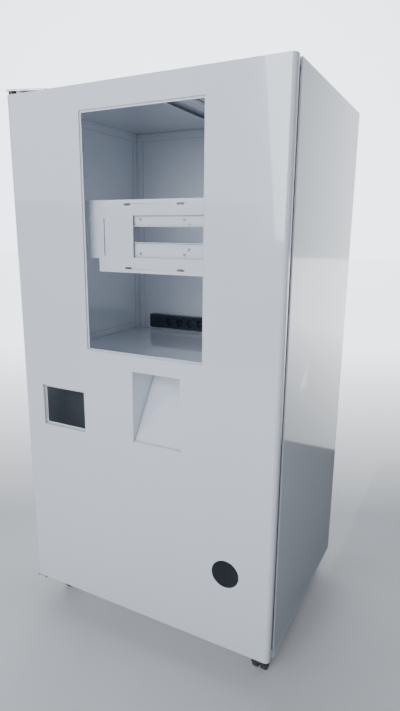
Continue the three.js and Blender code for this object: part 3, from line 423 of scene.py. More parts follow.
def grid_faces(rows, columns, wrap_rows=False, wrap_columns=False):
    """Four-cornered faces between the neighbours of a grid of points numbered row by row."""
    row = np.arange(rows if wrap_rows else rows - 1)[:, None]
    column = np.arange(columns if wrap_columns else columns - 1)[None, :]
    below, beside = (row + 1) % rows, (column + 1) % columns
    corners = (row * columns + column, below * columns + column,
               below * columns + beside, row * columns + beside)
    return np.stack([corner.ravel() for corner in corners], 1)


def put_piece(name, points, faces, body, slot, stands_for=()):
    """A mesh object from an array of points and lists of faces, riding on its body."""
    mesh = bpy.data.meshes.new(name)
    mesh.from_pydata(np.asarray(points, float), [], faces)
    mesh.polygons.foreach_set("use_smooth", np.ones(len(mesh.polygons), bool))
    mesh.materials.append(MATERIALS[slot])
    piece = bpy.data.objects.new(name, mesh)
    bpy.context.scene.collection.objects.link(piece)
    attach(piece, body)
    if stands_for:
        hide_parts(*stands_for)
    return piece


def close_seams(piece):
    """Merges the points that meet at seams and poles, and turns every face outwards."""
    surface = bmesh.new()
    surface.from_mesh(piece.data)
    bmesh.ops.remove_doubles(surface, verts=surface.verts, dist=2e-6)
    bmesh.ops.dissolve_degenerate(surface, dist=1e-7, edges=surface.edges)
    bmesh.ops.recalc_face_normals(surface, faces=surface.faces)
    surface.to_mesh(piece.data)
    surface.free()


def soften(piece, width=EDGE_SOFTNESS, angle=40):
    """Rounds the edges sharper than that angle, and keeps flat faces flat to the eye."""
    bevel = piece.modifiers.new("soft_edges", "BEVEL")
    bevel.width = width
    bevel.segments = 2
    bevel.limit_method = "ANGLE"
    bevel.angle_limit = math.radians(angle)
    normals = piece.modifiers.new("flat_faces", "WEIGHTED_NORMAL")
    normals.weight = 80
    normals.keep_sharp = False


def thicken(piece, thickness):
    """Gives a surface its wall, half to each side."""
    wall = piece.modifiers.new("wall", "SOLIDIFY")
    wall.thickness = thickness
    wall.offset = 0
    wall.use_even_offset = True


def round_outline(low, high, radius=0.0, steps=6):
    """A rectangle's outline, anticlockwise, with its corners turned on arcs of that radius."""
    low, high = np.array(low, float), np.array(high, float)
    if radius <= 0:
        return np.array([low, [high[0], low[1]], high, [low[0], high[1]]])
    quarter = np.radians(np.linspace(0, 90, steps + 1))
    angles = np.concatenate([quarter + math.pi * turn / 2 for turn in range(4)])
    signs = np.repeat([[1, 1], [-1, 1], [-1, -1], [1, -1]], steps + 1, axis=0)
    centres = np.where(signs > 0, high - radius, low + radius)
    return centres + radius * np.stack([np.cos(angles), np.sin(angles)], 1)


def circle(centre, radius, sides=24):
    """A circle's outline, anticlockwise."""
    angles = np.arange(sides) * 2 * math.pi / sides
    return np.array(centre) + radius * np.stack([np.cos(angles), np.sin(angles)], 1)


def round_hole(centre):
    """A fixing hole of a tray's flange."""
    return circle(centre, FLANGE_HOLE, 16)


def inside(points, outline):
    """Which points lie within a convex outline that runs anticlockwise."""
    start, end = outline, np.roll(outline, -1, axis=0)
    along, to = end - start, points[:, None, :] - start
    return (along[:, 0] * to[:, :, 1] - along[:, 1] * to[:, :, 0] > 0).all(axis=1)


def cut_blank(outline, fold_lines, openings):
    """The triangles of a flat blank: its outline with the openings out, and an edge on every fold."""
    low, high = outline.min(0), outline.max(0)
    loops = [outline, *openings]
    points = np.vstack(loops + [[[at, end] for end in (low[1], high[1])] for at in fold_lines])
    edges, first = [], 0
    for loop in loops:
        numbers = first + np.arange(len(loop))
        edges.append(np.stack([numbers, np.roll(numbers, -1)], 1))
        first += len(loop)
    folds = first + np.arange(2 * len(fold_lines)).reshape(-1, 2)
    edges = np.vstack(edges + [folds])
    found = delaunay_2d_cdt([Vector(p) for p in points], edges.tolist(), [], 0, 1e-7)
    flat = np.array([tuple(p) for p in found[0]])
    faces = np.array(found[2])
    middles = flat[faces].mean(axis=1)
    kept = inside(middles, outline)
    for opening in openings:
        kept &= ~inside(middles, opening)
    used, faces = np.unique(faces[kept], return_inverse=True)
    return flat[used], faces.reshape(-1, 3)


def fold_line(corners, radii, steps):
    """The middle line of a folded sheet seen end on: straight runs, with each corner turned on an arc.
    Returns its points and their distances along it."""
    corners = np.array(corners, float)
    stretches = [corners[:1]]
    for before, at, after, radius in zip(corners, corners[1:], corners[2:], radii):
        into = (at - before) / np.linalg.norm(at - before)
        out = (after - at) / np.linalg.norm(after - at)
        turn = math.atan2(into[0] * out[1] - into[1] * out[0], into @ out)
        inward = np.array([-into[1], into[0]]) * math.copysign(1, turn)
        centre = at - into * radius * math.tan(abs(turn) / 2) + inward * radius
        angles = np.linspace(0, turn, steps + 1)[:, None]
        side = np.array([inward[1], -inward[0]])
        stretches.append(centre - radius * (inward * np.cos(angles) - side * np.sin(angles)))
    line = np.vstack([*stretches, corners[-1:]])
    steps_along = np.linalg.norm(np.diff(line, axis=0), axis=1)
    return line, np.concatenate([[0], np.cumsum(steps_along)])


def folded_sheet(name, corners, ends, axis, body, slot="white_coat", stands_for=(), openings=(),
                 radii=FOLD_RADIUS, steps=FOLD_STEPS, sheet=SHEET):
    """A sheet folded along straight lines that all run along one axis, 0 to 2.

    corners are those of its middle line in the other two axes, and ends its two ends along the axis.
    An opening is (run, outline): the straight run it is cut in, and points of that run's own axis and
    the fold axis. The blank's u is the distance along the middle line and its v the place along the
    axis; folding carries u to the middle line and leaves v alone.
    """
    radii = np.broadcast_to(radii, len(corners) - 2)
    line, along = fold_line(corners, radii, steps)
    cuts = []
    for run, outline in openings:
        first = run * (steps + 1)
        heading = line[first + 1] - line[first]
        across = int(np.argmax(np.abs(heading)))
        u = along[first] + (outline[:, 0] - line[first, across]) * np.sign(heading[across])
        cut = np.stack([u, outline[:, 1]], 1)
        cuts.append(cut if heading[across] > 0 else cut[::-1])
    blank = round_outline((0, ends[0]), (along[-1], ends[1]))
    flat, faces = cut_blank(blank, along[1:-1], cuts)
    others = [number for number in range(3) if number != axis]
    points = np.empty((len(flat), 3))
    points[:, axis] = flat[:, 1]
    for column, other in enumerate(others):
        points[:, other] = np.interp(flat[:, 0], along, line[:, column])
    piece = put_piece(name, points, faces.tolist(), body, slot, stands_for)
    thicken(piece, sheet)
    soften(piece)
    return piece


def flat_plate(name, outline, axis, level, body, slot="white_coat", stands_for=(), openings=(), sheet=SHEET):
    """A flat plate of any convex outline, square to one axis, with its middle at that level."""
    flat, faces = cut_blank(np.array(outline, float), [], list(openings))
    points = np.insert(flat, axis, level, axis=1)
    piece = put_piece(name, points, faces.tolist(), body, slot, stands_for)
    thicken(piece, sheet)
    soften(piece)
    return piece


def ring_path(low, high, insets, radius, steps):
    """Points round a rectangle in two axes, one row for each inset from it. A corner turns on an arc
    that tightens as the inset grows. The row starts at the left side and runs anticlockwise."""
    low, high = np.array(low, float), np.array(high, float)
    insets = np.array(insets, float)[:, None]
    quarter = np.radians(np.linspace(0, 90, steps + 1))
    angles = np.concatenate([quarter + math.pi * turn / 2 for turn in (2, 3, 4, 5)])
    signs = np.repeat([[-1, -1], [1, -1], [1, 1], [-1, 1]], steps + 1, axis=0)
    turned = np.maximum(radius - insets, 0.0003)
    reach = [np.where(signs[:, k] > 0, high[k] - insets - turned, low[k] + insets + turned) for k in (0, 1)]
    return np.stack([reach[0] + turned * np.cos(angles), reach[1] + turned * np.sin(angles)], 2)


def swept_ring(name, low, high, profile, body, slot="white_coat", stands_for=(), radius=0.0, steps=4):
    """A closed profile of (inset, depth in Y) points carried round a rectangle in X and Z."""
    profile = np.array(profile, float)
    path = ring_path(low, high, profile[:, 0], radius, steps)
    rows, columns = path.shape[:2]
    points = np.stack([path[:, :, 0], np.repeat(profile[:, 1:], columns, axis=1), path[:, :, 1]], 2)
    faces = grid_faces(rows, columns, True, True).tolist()
    piece = put_piece(name, points.reshape(-1, 3), faces, body, slot, stands_for)
    close_seams(piece)
    soften(piece)
    return piece


def axes_about(direction):
    """Two unit vectors square to a direction and to each other, and the direction's own."""
    forward = np.array(direction, float) / np.linalg.norm(direction)
    helper = np.array([0.0, 0.0, 1.0]) if abs(forward[2]) < 0.9 else np.array([1.0, 0.0, 0.0])
    right = np.cross(helper, forward)
    right /= np.linalg.norm(right)
    return right, np.cross(forward, right), forward


def lathe(profile, centre, direction, sides=48):
    """A closed profile of (radius r, place h along the axis) points, turned about the axis:
    P = centre + r (right cos a + up sin a) + h forward. A profile may touch the axis."""
    profile = np.array(profile, float)
    right, up, forward = axes_about(direction)
    angles = np.arange(sides) * 2 * math.pi / sides
    spokes = np.cos(angles)[:, None] * right + np.sin(angles)[:, None] * up
    points = (np.array(centre) + spokes[:, None, :] * profile[None, :, :1]
              + forward * profile[None, :, 1:])
    return points.reshape(-1, 3), grid_faces(sides, len(profile), True, True).tolist()


def button_screw(centre, direction, radius=0.0035, height=0.0019, sides=36):
    """A button-headed screw with a six-lobed recess: the dome is h = H sqrt(1 - (r / R)^2), and the
    recess's edge is r = 0.4 R (1 + 0.16 cos 6a)."""
    right, up, forward = axes_about(direction)
    a = np.arange(sides)[:, None] * 2 * math.pi / sides
    lobe = 0.4 * radius * (1 + 0.16 * np.cos(6 * a))
    out = np.array([0.0, 1.0, 1.0, 0.8, 0.55, 0.25, 0.0])
    r = lobe + (radius - lobe) * out
    h = height * np.sqrt(np.maximum(1 - (r / radius) ** 2, 0)) + 0.0002
    r = np.hstack([np.zeros_like(a), r[:, 1:], lobe, np.zeros_like(a)])
    sunk = np.full_like(a, 0.35 * height)
    h = np.hstack([np.full((sides, 2), -0.0002), h[:, 2:], sunk, sunk])
    spokes = np.cos(a) * right + np.sin(a) * up
    points = np.array(centre) + spokes[:, None, :] * r[:, :, None] + forward * h[:, :, None]
    return points.reshape(-1, 3), grid_faces(sides, r.shape[1], True, True).tolist()


def prism(outline, axis, low, high):
    """A solid of one section: an outline in the other two axes, carried along the axis."""
    outline = np.array(outline, float)
    count = len(outline)
    points = np.vstack([np.insert(outline, axis, at, axis=1) for at in (low, high)])
    ends = [list(range(count))[::-1], list(range(count, 2 * count))]
    return points, grid_faces(2, count, False, True).tolist() + ends


def box(low, high):
    """A rectangular block between two corners."""
    return prism(round_outline(low[1:], high[1:]), 0, low[0], high[0])


def solid_piece(name, parts, body, slot, stands_for=(), softness=0.0):
    """One piece from several closed bodies, each given as points and faces."""
    points = np.vstack([part[0] for part in parts])
    offsets = np.cumsum([0] + [len(part[0]) for part in parts[:-1]])
    faces = [[corner + int(offset) for corner in face]
             for part, offset in zip(parts, offsets) for face in part[1]]
    piece = put_piece(name, points, faces, body, slot, stands_for)
    close_seams(piece)
    soften(piece, softness or 0.0002, 30)
    return piece


# ---------------------------------------------------------------- cabinet


def make_side_panel(side, inward):
    """A flat side with a flange turned in at the front, notched where the roof and floor trays pass."""
    low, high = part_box(f"{side}_side_panel")
    outer = low.x if inward > 0 else high.x
    web, flange = outer + inward * SHEET / 2, low.y + SHEET / 2
    clear = sorted((outer + inward * (SHEET + GAP), outer + inward * 2 * SIDE_FLANGE))
    notches = [round_outline((clear[0], z0), (clear[1], z1)) for z0, z1 in (
        (high.z - ROOF_FLANGE - GAP, high.z + SHEET), (low.z - SHEET, low.z + FLOOR_FLANGE + GAP))]
    folded_sheet(
        f"{side}_side_sheet", [(outer + inward * SIDE_FLANGE, flange), (web, flange), (web, high.y)],
        (low.z, high.z), 2, "cabinet", stands_for=[f"{side}_side_panel"],
        openings=[(0, notch) for notch in notches])


def make_tray(name, node, down):
    """A tray with all four sides turned down or up, and the fixing holes of its flanges."""
    low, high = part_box(node)
    half = SHEET / 2
    level, rim = (high.z - half, low.z) if down else (low.z + half, high.z)
    left, right = low.x + half, high.x - half
    hole_z = (level + rim) / 2 + (FLANGE_HOLE_SHIFT if down else -FLANGE_HOLE_SHIFT)
    ends = (low.y + SHEET + GAP, high.y - SHEET - GAP)
    run = [round_hole((hole_z, y)) for y in FLANGE_HOLES]
    folded_sheet(
        f"{name}_tray", [(left, rim), (left, level), (right, level), (right, rim)], ends, 1, "cabinet",
        stands_for=[node], openings=[(0, hole) for hole in run] + [(2, hole) for hole in run])
    z0, z1 = sorted((rim, level + math.copysign(half, level - rim)))
    near, far = FLANGE_HOLE_INSETS
    spots = [left + near, left + far, right - far, right - near]
    flange = round_outline((low.x + SHEET, z0), (high.x - SHEET, z1))
    for side, y in (("front", low.y + half), ("back", high.y - half)):
        flat_plate(f"{name}_{side}_flange", flange, 1, y, "cabinet",
                   openings=[round_hole((x, hole_z)) for x in spots])


def make_posts():
    """An angle post in each back corner."""
    for side, inward in (("left", 1), ("right", -1)):
        low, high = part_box(f"rear_{side}_post")
        wall = low.x if inward > 0 else high.x
        x, y = wall + inward * SHEET / 2, high.y - SHEET / 2
        folded_sheet(
            f"rear_{side}_angle", [(x, low.y), (x, y), (wall + inward * POST_LEG, y)], (low.z, high.z), 2,
            "cabinet", stands_for=[f"rear_{side}_post"])


def make_shelf():
    """A tray with its sides and back turned up and its front turned down, its back corners cut away."""
    low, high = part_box("middle_shelf")
    half = SHEET / 2
    flange = (high.z - low.z) / 2
    level = (low.z + high.z) / 2 - half
    notch = POST_LEG + SHELF_CLEARANCE
    left, right = low.x + half, high.x - half
    back = high.y - notch
    corners = [round_outline((x0, back), (x1, high.y + SHEET)) for x0, x1 in (
        (low.x - flange * 2, low.x + notch), (high.x - notch, high.x + flange * 2))]
    folded_sheet(
        "shelf_tray", [(left, high.z), (left, level), (right, level), (right, high.z)],
        (low.y, high.y - SHEET), 1, "cabinet", stands_for=["middle_shelf"],
        openings=[(1, corner) for corner in corners])
    flat_plate(
        "shelf_back_flange", round_outline((low.x + notch, level - half), (high.x - notch, high.z)), 1,
        high.y - half, "cabinet")
    flat_plate(
        "shelf_front_flange", round_outline((left, low.z), (right, level - half)), 1, low.y + half, "cabinet")


def make_roof_beam():
    """A shallow lipped channel under the roof from front to back, open downwards, with the screws
    that hold it up."""
    low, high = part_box("roof_beam")
    half = SHEET / 2
    left, right = low.x + half, high.x - half
    deep, shallow = low.z + half, high.z - half
    folded_sheet(
        "roof_channel",
        [(low.x + BEAM_LIP, deep), (left, deep), (left, shallow), (right, shallow), (right, deep),
         (high.x - BEAM_LIP, deep)], (low.y, high.y), 1, "cabinet", stands_for=["roof_beam"])
    middle = (low.x + high.x) / 2
    places = [(middle + x, y, high.z - SHEET) for x, y in BEAM_WEB_SCREWS]
    places += [(x, y, low.z) for x in (low.x + BEAM_LIP_SCREW_INSET, high.x - BEAM_LIP_SCREW_INSET)
               for y in BEAM_LIP_SCREWS]
    solid_piece("roof_screws", [button_screw(place, (0, 0, -1), *BEAM_SCREW) for place in places],
                "cabinet", "zinc_plate")


def make_back():
    """A flat back with a row of screws down each edge."""
    low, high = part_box("back_panel")
    middle = (low.y + high.y) / 2
    flat_plate("back_sheet", round_outline((low.x, low.z), (high.x, high.z)), 1, middle, "cabinet",
               stands_for=["back_panel"])
    heights = np.linspace(low.z + 0.06, high.z - 0.02, BACK_SCREW_ROWS)
    places = [(x, high.y, z) for x in (low.x + BACK_SCREW_INSET, high.x - BACK_SCREW_INSET) for z in heights]
    places += [(x, high.y, z) for x in np.linspace(low.x + 0.19, high.x - 0.19, 3)
               for z in (low.z + 0.02, high.z - 0.02)]
    solid_piece("back_screws", [button_screw(place, (0, 1, 0), *BACK_SCREW) for place in places],
                "cabinet", "zinc_plate")


def make_wall_plate():
    """The small plate on the left wall, with two fixing holes and a slot."""
    low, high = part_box("side_mounting_plate")
    hole_y, slot_y = high.y - 0.010, high.y - 0.029
    slot_z = high.z - 0.4 * (high.z - low.z)
    outline = round_outline((low.y, low.z), (high.y, high.z), 0.004)
    holes = [circle((hole_y, high.z - 0.028), 0.003, 16), circle((hole_y, low.z + 0.010), 0.003, 16),
             round_outline((slot_y - 0.007, slot_z - 0.015), (slot_y + 0.007, slot_z + 0.015), 0.006)]
    flat_plate("side_plate", outline, 0, (low.x + high.x) / 2, "cabinet", stands_for=["side_mounting_plate"],
               openings=holes)


# ---------------------------------------------------------------- door


def opening_of(node, margin=FRAME_FLANGE):
    """The opening behind which that node's flange runs, as (lowest, highest) in X and Z."""
    low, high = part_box(node)
    return np.array([low.x + margin, low.z + margin]), np.array([high.x - margin, high.z - margin])


def chute_opening():
    """The opening in front of the chute, as (lowest, highest) in X and Z."""
    low, high = opening_of("dispensing_chute")
    return low, np.array([high[0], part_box("dispensing_chute")[1].z - CHUTE_RISE])


def port_centre():
    """The round port's middle in X and Z."""
    found = next(o for o in frame["record"]["physics"]["openings"] if o["name"] == "round_port")
    low, high = found["box_m"]
    return (low[0] + high[0]) / 2, (low[2] + high[2]) / 2


def hinge_place():
    """The door hinge's line in X and Y."""
    found = next(joint for joint in frame["joints"] if joint["name"] == "door_hinge")
    return found["pos_m"][:2]


def make_door_skin():
    """The door's front, bent round at both upright edges and turned in again at the back, with its
    openings; and the plates that close its top and bottom."""
    low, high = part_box("door_skin")
    half = SHEET / 2
    window, payment, chute = opening_of("window_frame"), opening_of("payment_frame"), chute_opening()
    relief = [circle((x, chute[0][1]), CHUTE_RELIEF, 16) for x in (chute[0][0], chute[1][0])]
    openings = [round_outline(*window, WINDOW_CORNER), round_outline(*payment), round_outline(*chute),
                circle(port_centre(), PORT_RADIUS, 72), *relief]
    back, left, right, front = high.y - half, low.x + half, high.x - half, low.y + half
    corners = [(left + DOOR_LIP, back), (left, back), (left, front), (right, front), (right, back),
               (right - DOOR_LIP, back)]
    folded_sheet(
        "door_front", corners, (low.z, high.z), 2, "door", stands_for=["door_skin"],
        openings=[(2, opening) for opening in openings], steps=DOOR_EDGE_STEPS,
        radii=[FOLD_RADIUS, DOOR_EDGE_RADIUS, DOOR_EDGE_RADIUS, FOLD_RADIUS])
    inner = SHEET + 0.0001
    radius = DOOR_EDGE_RADIUS - SHEET
    turn = np.radians(np.linspace(180, 270, 7))
    arc = radius * (1 + np.stack([np.cos(turn), np.sin(turn)], 1))
    front_left = np.array([low.x + inner, low.y + inner]) + arc
    front_right = np.array([high.x - inner, low.y + inner]) + arc[::-1] * (-1, 1)
    back_corners = [(high.x - inner, high.y - inner), (low.x + inner, high.y - inner)]
    plan = np.vstack([front_left, front_right, back_corners])
    bush = circle(hinge_place(), BUSH_HOLE, 32)
    flat_plate("door_top", plan, 2, high.z - half, "door", openings=[bush])
    flat_plate("door_foot", plan, 2, low.z + half, "door", openings=[bush])
    side = (low.x + DOOR_LIP + GAP, high.x - DOOR_LIP - GAP)
    for name, z0, z1 in (("door_upper_lip", high.z - DOOR_LIP, high.z - inner),
                         ("door_lower_lip", low.z + inner, low.z + DOOR_LIP)):
        flat_plate(name, round_outline((side[0], z0), (side[1], z1)), 1, back, "door")


def sheet_profile(corners, radii, sheet=THIN_SHEET, steps=3):
    """The closed outline of a folded sheet seen end on, half its thickness to each side of the
    middle line."""
    line = fold_line(corners, np.broadcast_to(radii, len(corners) - 2), steps)[0]
    along = np.gradient(line, axis=0)
    along /= np.linalg.norm(along, axis=1)[:, None]
    across = np.stack([-along[:, 1], along[:, 0]], 1) * sheet / 2
    return np.vstack([line + across, (line - across)[::-1]])


def make_window_frame():
    """The window's surround: a flange behind the door's face, a short wall in, and the lip."""
    low, high = opening_of("window_frame")
    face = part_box("door_skin")[0].y
    half = THIN_SHEET / 2
    behind = face + SHEET + GAP + half + THIN_SHEET
    lip = face + WINDOW_STEP + half
    corners = [(-FRAME_FLANGE, behind), (-0.001, behind), (-0.001, lip), (WINDOW_LIP, lip)]
    swept_ring("window_lip", low, high, sheet_profile(corners, 0.0012), "door", stands_for=["window_frame"],
               radius=WINDOW_CORNER)


def make_payment_frame():
    """The payment opening's recessed surround: a flange and wall, and a lip with a column of holes."""
    low, high = opening_of("payment_frame")
    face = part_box("door_skin")[0].y
    half = THIN_SHEET / 2
    behind = face + SHEET + GAP + half
    lip = face + PAYMENT_RECESS + half
    corners = [(-FRAME_FLANGE, behind), (-half, behind), (-half, lip - THIN_SHEET)]
    swept_ring("payment_surround", low, high, sheet_profile(corners, 0.0012), "door",
               stands_for=["payment_frame"], radius=0.001)
    reach = np.array([half + THIN_SHEET / 2, half + THIN_SHEET / 2])
    middle = (low[1] + high[1]) / 2
    heights = middle + (np.arange(PAYMENT_HOLES) - (PAYMENT_HOLES - 1) / 2) * PAYMENT_HOLE_PITCH
    holes = [circle((low[0] + PAYMENT_LIP / 2, z), PAYMENT_HOLE_RADIUS, 12) for z in heights]
    outline = round_outline(low - reach, high + reach)
    flat_plate("payment_lip", outline, 1, lip, "door", sheet=THIN_SHEET,
               openings=[round_outline(low + PAYMENT_LIP, high - PAYMENT_LIP), *holes])


def make_chute():
    """The dispensing chute: a sloping floor with a ledge and a front flange, between two side walls."""
    low, high = chute_opening()
    box_low, box_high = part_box("dispensing_chute")
    half = THIN_SHEET / 2
    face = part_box("door_skin")[0].y
    flange = box_low.y + half
    ledge_y, ledge_z = face + CHUTE_LEDGE, low[1] + half
    end_y, end_z = box_high.y - half, box_high.z
    folded_sheet(
        "chute_floor", [(flange, box_low.z), (flange, ledge_z), (ledge_y, ledge_z), (end_y, end_z)],
        (low[0] + 0.0001, high[0] - 0.0001), 0, "door", stands_for=["dispensing_chute"], sheet=THIN_SHEET,
        radii=[0.0015, 0.002])
    slope = (end_z - ledge_z) / (end_y - ledge_y)
    past = 0.01
    below = np.array([(ledge_y, low[1] - 0.001), (end_y + past, low[1] - 0.001),
                      (end_y + past, end_z + slope * past)])
    for side, inner, outward in (("left", low[0], -1), ("right", high[0], 1)):
        wall = inner + outward * half
        corners = [(inner + outward * FRAME_FLANGE, flange), (wall, flange), (wall, end_y)]
        holes = [(1, below)]
        if outward < 0:
            holes.append((1, circle((face + 0.061, low[1] + 0.121), 0.0025, 16)))
        folded_sheet(f"chute_{side}_wall", corners, (low[1], end_z), 2, "door", openings=holes,
                     sheet=THIN_SHEET, radii=0.0015)


def make_stiffeners():
    """Upright channels inside the door, on each side of the window."""
    for side in ("left", "right"):
        low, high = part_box(f"door_stiffener_{side}")
        half = SHEET / 2
        left, right = low.x + STIFFENER_FOOT, high.x - STIFFENER_FOOT
        near, far = low.y + half, high.y - half
        folded_sheet(
            f"{side}_stiffener",
            [(low.x, near), (left, near), (left, far), (right, far), (right, near), (high.x, near)],
            (low.z, high.z), 2, "door", stands_for=[f"door_stiffener_{side}"])


def slot_hole(x, z, half_size, radius):
    """A slot's outline about its middle, with its corners turned on that radius."""
    centre, size = np.array([x, z]), np.array(half_size)
    return round_outline(centre - size, centre + size, radius)


def make_bracket():
    """The display bracket: a plate set back behind the window, its ends folded to the stiffeners, with
    cut-away lower corners, screw slots and a square cut-out."""
    low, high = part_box("display_bracket")
    half = SHEET / 2
    middle_x, middle_z = (low.x + high.x) / 2, (low.z + high.z) / 2
    left, right = low.x + BRACKET_FOOT, high.x - BRACKET_FOOT
    foot, plate = low.y + half, high.y - half
    openings = []
    for width, height in (BRACKET_EAR, BRACKET_HEEL):
        openings.append(
            round_outline((left - PAST_THE_FOLD, low.z - half), (left + width, low.z + height)))
        openings.append(
            round_outline((right - width, low.z - half), (right + PAST_THE_FOLD, low.z + height)))
    openings += [slot_hole(middle_x + x, middle_z - EAR_SLOT_DROP, EAR_SLOT, EAR_SLOT_RADIUS)
                 for x in EAR_SLOT_PLACES]
    openings += [slot_hole(middle_x + x, z, PLATE_SLOT, PLATE_SLOT_RADIUS) for x in PLATE_SLOT_PLACES
                 for z in (high.z - PLATE_SLOT_INSET, low.z + PLATE_SLOT_INSET)]
    shift, half_width, half_height = BRACKET_CUTOUT
    cutout_x = middle_x + shift
    openings.append(slot_hole(cutout_x, middle_z, (half_width, half_height), 0.0))
    openings += [circle((cutout_x + half_width, middle_z + side * half_height), BRACKET_RELIEF, 16)
                 for side in (-1, 1)]
    folded_sheet(
        "bracket_plate",
        [(low.x, foot), (left, foot), (left, plate), (right, plate), (right, foot), (high.x, foot)],
        (low.z, high.z), 2, "door", stands_for=["display_bracket"], openings=[(2, cut) for cut in openings])


def make_rails():
    """Two shallow channels behind the bracket, with the screen's holes."""
    middle = (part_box("display_bracket")[0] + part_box("display_bracket")[1]) / 2
    for end, sign in (("upper", 1), ("lower", -1)):
        low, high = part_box(f"display_rail_{end}")
        half = SHEET / 2
        z = middle.z + sign * RAIL_HOLE_RISE
        spots = [(middle.x + across, z - sign * inward) for across, inward in RAIL_HOLE_PLACES]
        corners = [(low.y, low.z + half), (high.y - half, low.z + half), (high.y - half, high.z - half),
                   (low.y, high.z - half)]
        folded_sheet(
            f"{end}_rail", corners, (low.x, high.x), 0, "door", stands_for=[f"display_rail_{end}"],
            openings=[(1, np.stack([hole[:, 1], hole[:, 0]], 1)[::-1]) for hole in
                      (circle(spot, RAIL_HOLE, 16) for spot in spots)])
        rings = [lathe([(0.0028, 0), (0.0048, 0), (0.0046, 0.0006), (0.0030, 0.0006)],
                       (x, high.y - SHEET - 0.0006, z), (0, 1, 0), 20) for x, z in spots]
        solid_piece(f"{end}_rail_inserts", rings, "door", "zinc_plate")


def make_seal():
    """The door's seal: a magnetic bolster against the cabinet, a bellows and a foot in the door."""
    low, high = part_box("door_gasket")
    y0, y1 = low.y, high.y
    width = SEAL_WIDTH
    profile = [(0, y0), (width, y0), (width, y0 + 0.003), (width - 0.003, y0 + 0.005),
               (width - 0.001, y0 + 0.0075), (width - 0.003, y0 + 0.010), (width, y0 + 0.0115),
               (width, y1 - 0.001), (width - 0.001, y1),
               (0.001, y1), (0, y1 - 0.001), (0, y0 + 0.0115), (0.003, y0 + 0.010), (0.001, y0 + 0.0075),
               (0.003, y0 + 0.005), (0, y0 + 0.003)]
    swept_ring("door_seal", (low.x, low.z), (high.x, high.z), profile, "door", "seal_rubber",
               stands_for=["door_gasket"], radius=0.004)


# ---------------------------------------------------------------- hinges and catches

PIN_RADIUS = 0.004
PIN_FIT = 0.0003
BUSH_WALL = 0.004
HINGE_PLATE = 0.006
HINGE_SCREW = (0.0055, 0.0032)  # a head's radius and height
HINGE_SADDLE = 0.004


def make_top_hinge():
    """The thick plate over the roof that carries the upper pin, its spacer and its fixing screws."""
    low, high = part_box("top_hinge_plate")
    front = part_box("left_side_panel")[0].y
    under = high.z - HINGE_PLATE
    plate = [(low.x, low.y), (high.x, front), (high.x, high.y), (low.x, high.y)]
    spacer = round_outline((low.x + 0.009, front + 0.009), (high.x - 0.009, high.y - 0.009), 0.004)
    solid_piece("hinge_slab", [prism(plate, 2, under, high.z), prism(spacer, 2, low.z, under + 0.001)],
                "cabinet", "zinc_plate", ["top_hinge_plate"], softness=0.0008)
    inset = 0.024
    places = [(x, y, high.z) for x in (low.x + inset, high.x - inset)
              for y in (front + 0.026, high.y - inset)]
    solid_piece("hinge_slab_screws", [button_screw(place, (0, 0, 1), *HINGE_SCREW) for place in places],
                "cabinet", "bright_steel")


def make_pins():
    """Ground pins with rounded ends."""
    for end in ("top", "bottom"):
        low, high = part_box(f"{end}_hinge_pin")
        centre = (*hinge_place(), 0.0)
        edge = 0.0008
        profile = [(0, low.z), (PIN_RADIUS - edge, low.z), (PIN_RADIUS, low.z + edge),
                   (PIN_RADIUS, high.z - edge), (PIN_RADIUS - edge, high.z), (0, high.z)]
        solid_piece(f"{end}_pin", [lathe(profile, centre, (0, 0, 1), 40)], "cabinet", "bright_steel",
                    [f"{end}_hinge_pin"])


def make_bushes():
    """Flanged plastic bushes that turn on the pins."""
    bore = PIN_RADIUS + PIN_FIT
    outer = bore + BUSH_WALL
    for end in ("top", "bottom"):
        low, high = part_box(f"door_bush_{end}")
        flange = (high.x - low.x) / 2
        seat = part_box("door_skin")[1].z + GAP if end == "top" else low.z + SHEET + GAP
        rise = high.z if end == "top" else seat + 0.003
        profile = [(bore, low.z), (outer - 0.0005, low.z), (outer, low.z + 0.0005), (outer, seat),
                   (flange, seat), (flange, rise - 0.0006), (flange - 0.0006, rise)]
        profile += [(bore, rise)] if end == "top" else [(outer, rise), (outer, high.z), (bore, high.z)]
        solid_piece(f"{end}_bush", [lathe(profile, (*hinge_place(), 0.0), (0, 0, 1), 40)], "door",
                    "black_plastic", [f"door_bush_{end}"])


def make_bottom_hinge():
    """A folded saddle under the door's foot that carries the lower pin."""
    low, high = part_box("bottom_hinge_bracket")
    thick = HINGE_SADDLE
    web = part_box("door_skin")[0].z - 0.001 - thick / 2
    left, right = low.x + thick / 2, high.x - thick / 2
    hole = circle(hinge_place(), PIN_RADIUS + PIN_FIT, 32)
    folded_sheet(
        "hinge_saddle", [(left, low.z), (left, web), (right, web), (right, low.z)], (low.y, high.y), 1,
        "cabinet", "zinc_plate", ["bottom_hinge_bracket"], [(1, hole)], radii=0.0035, sheet=thick)
    flat_plate("hinge_upstand", round_outline((low.x, low.z), (high.x, high.z), 0.002), 1,
               high.y - thick / 2, "cabinet", "zinc_plate", sheet=thick)


def make_catches():
    """Magnetic catches: a plastic case on the cabinet's front edge, and the plated keeper on the
    door."""
    for end in ("upper", "lower"):
        low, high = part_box(f"door_catch_{end}")
        wall = low.x + 0.014
        ear = low.y + SHEET
        solid_piece(
            f"{end}_catch_case",
            [box(low, (wall, high.y, high.z)), box((low.x, ear, low.z), (high.x, ear + 0.003, high.z))],
            "cabinet", "black_plastic", [f"door_catch_{end}"], softness=0.0006)
        near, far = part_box(f"catch_keeper_{end}")
        solid_piece(f"{end}_keeper", [box(near, far)], "door", "zinc_plate", [f"catch_keeper_{end}"],
                    softness=0.0008)


# ---------------------------------------------------------------- socket strip

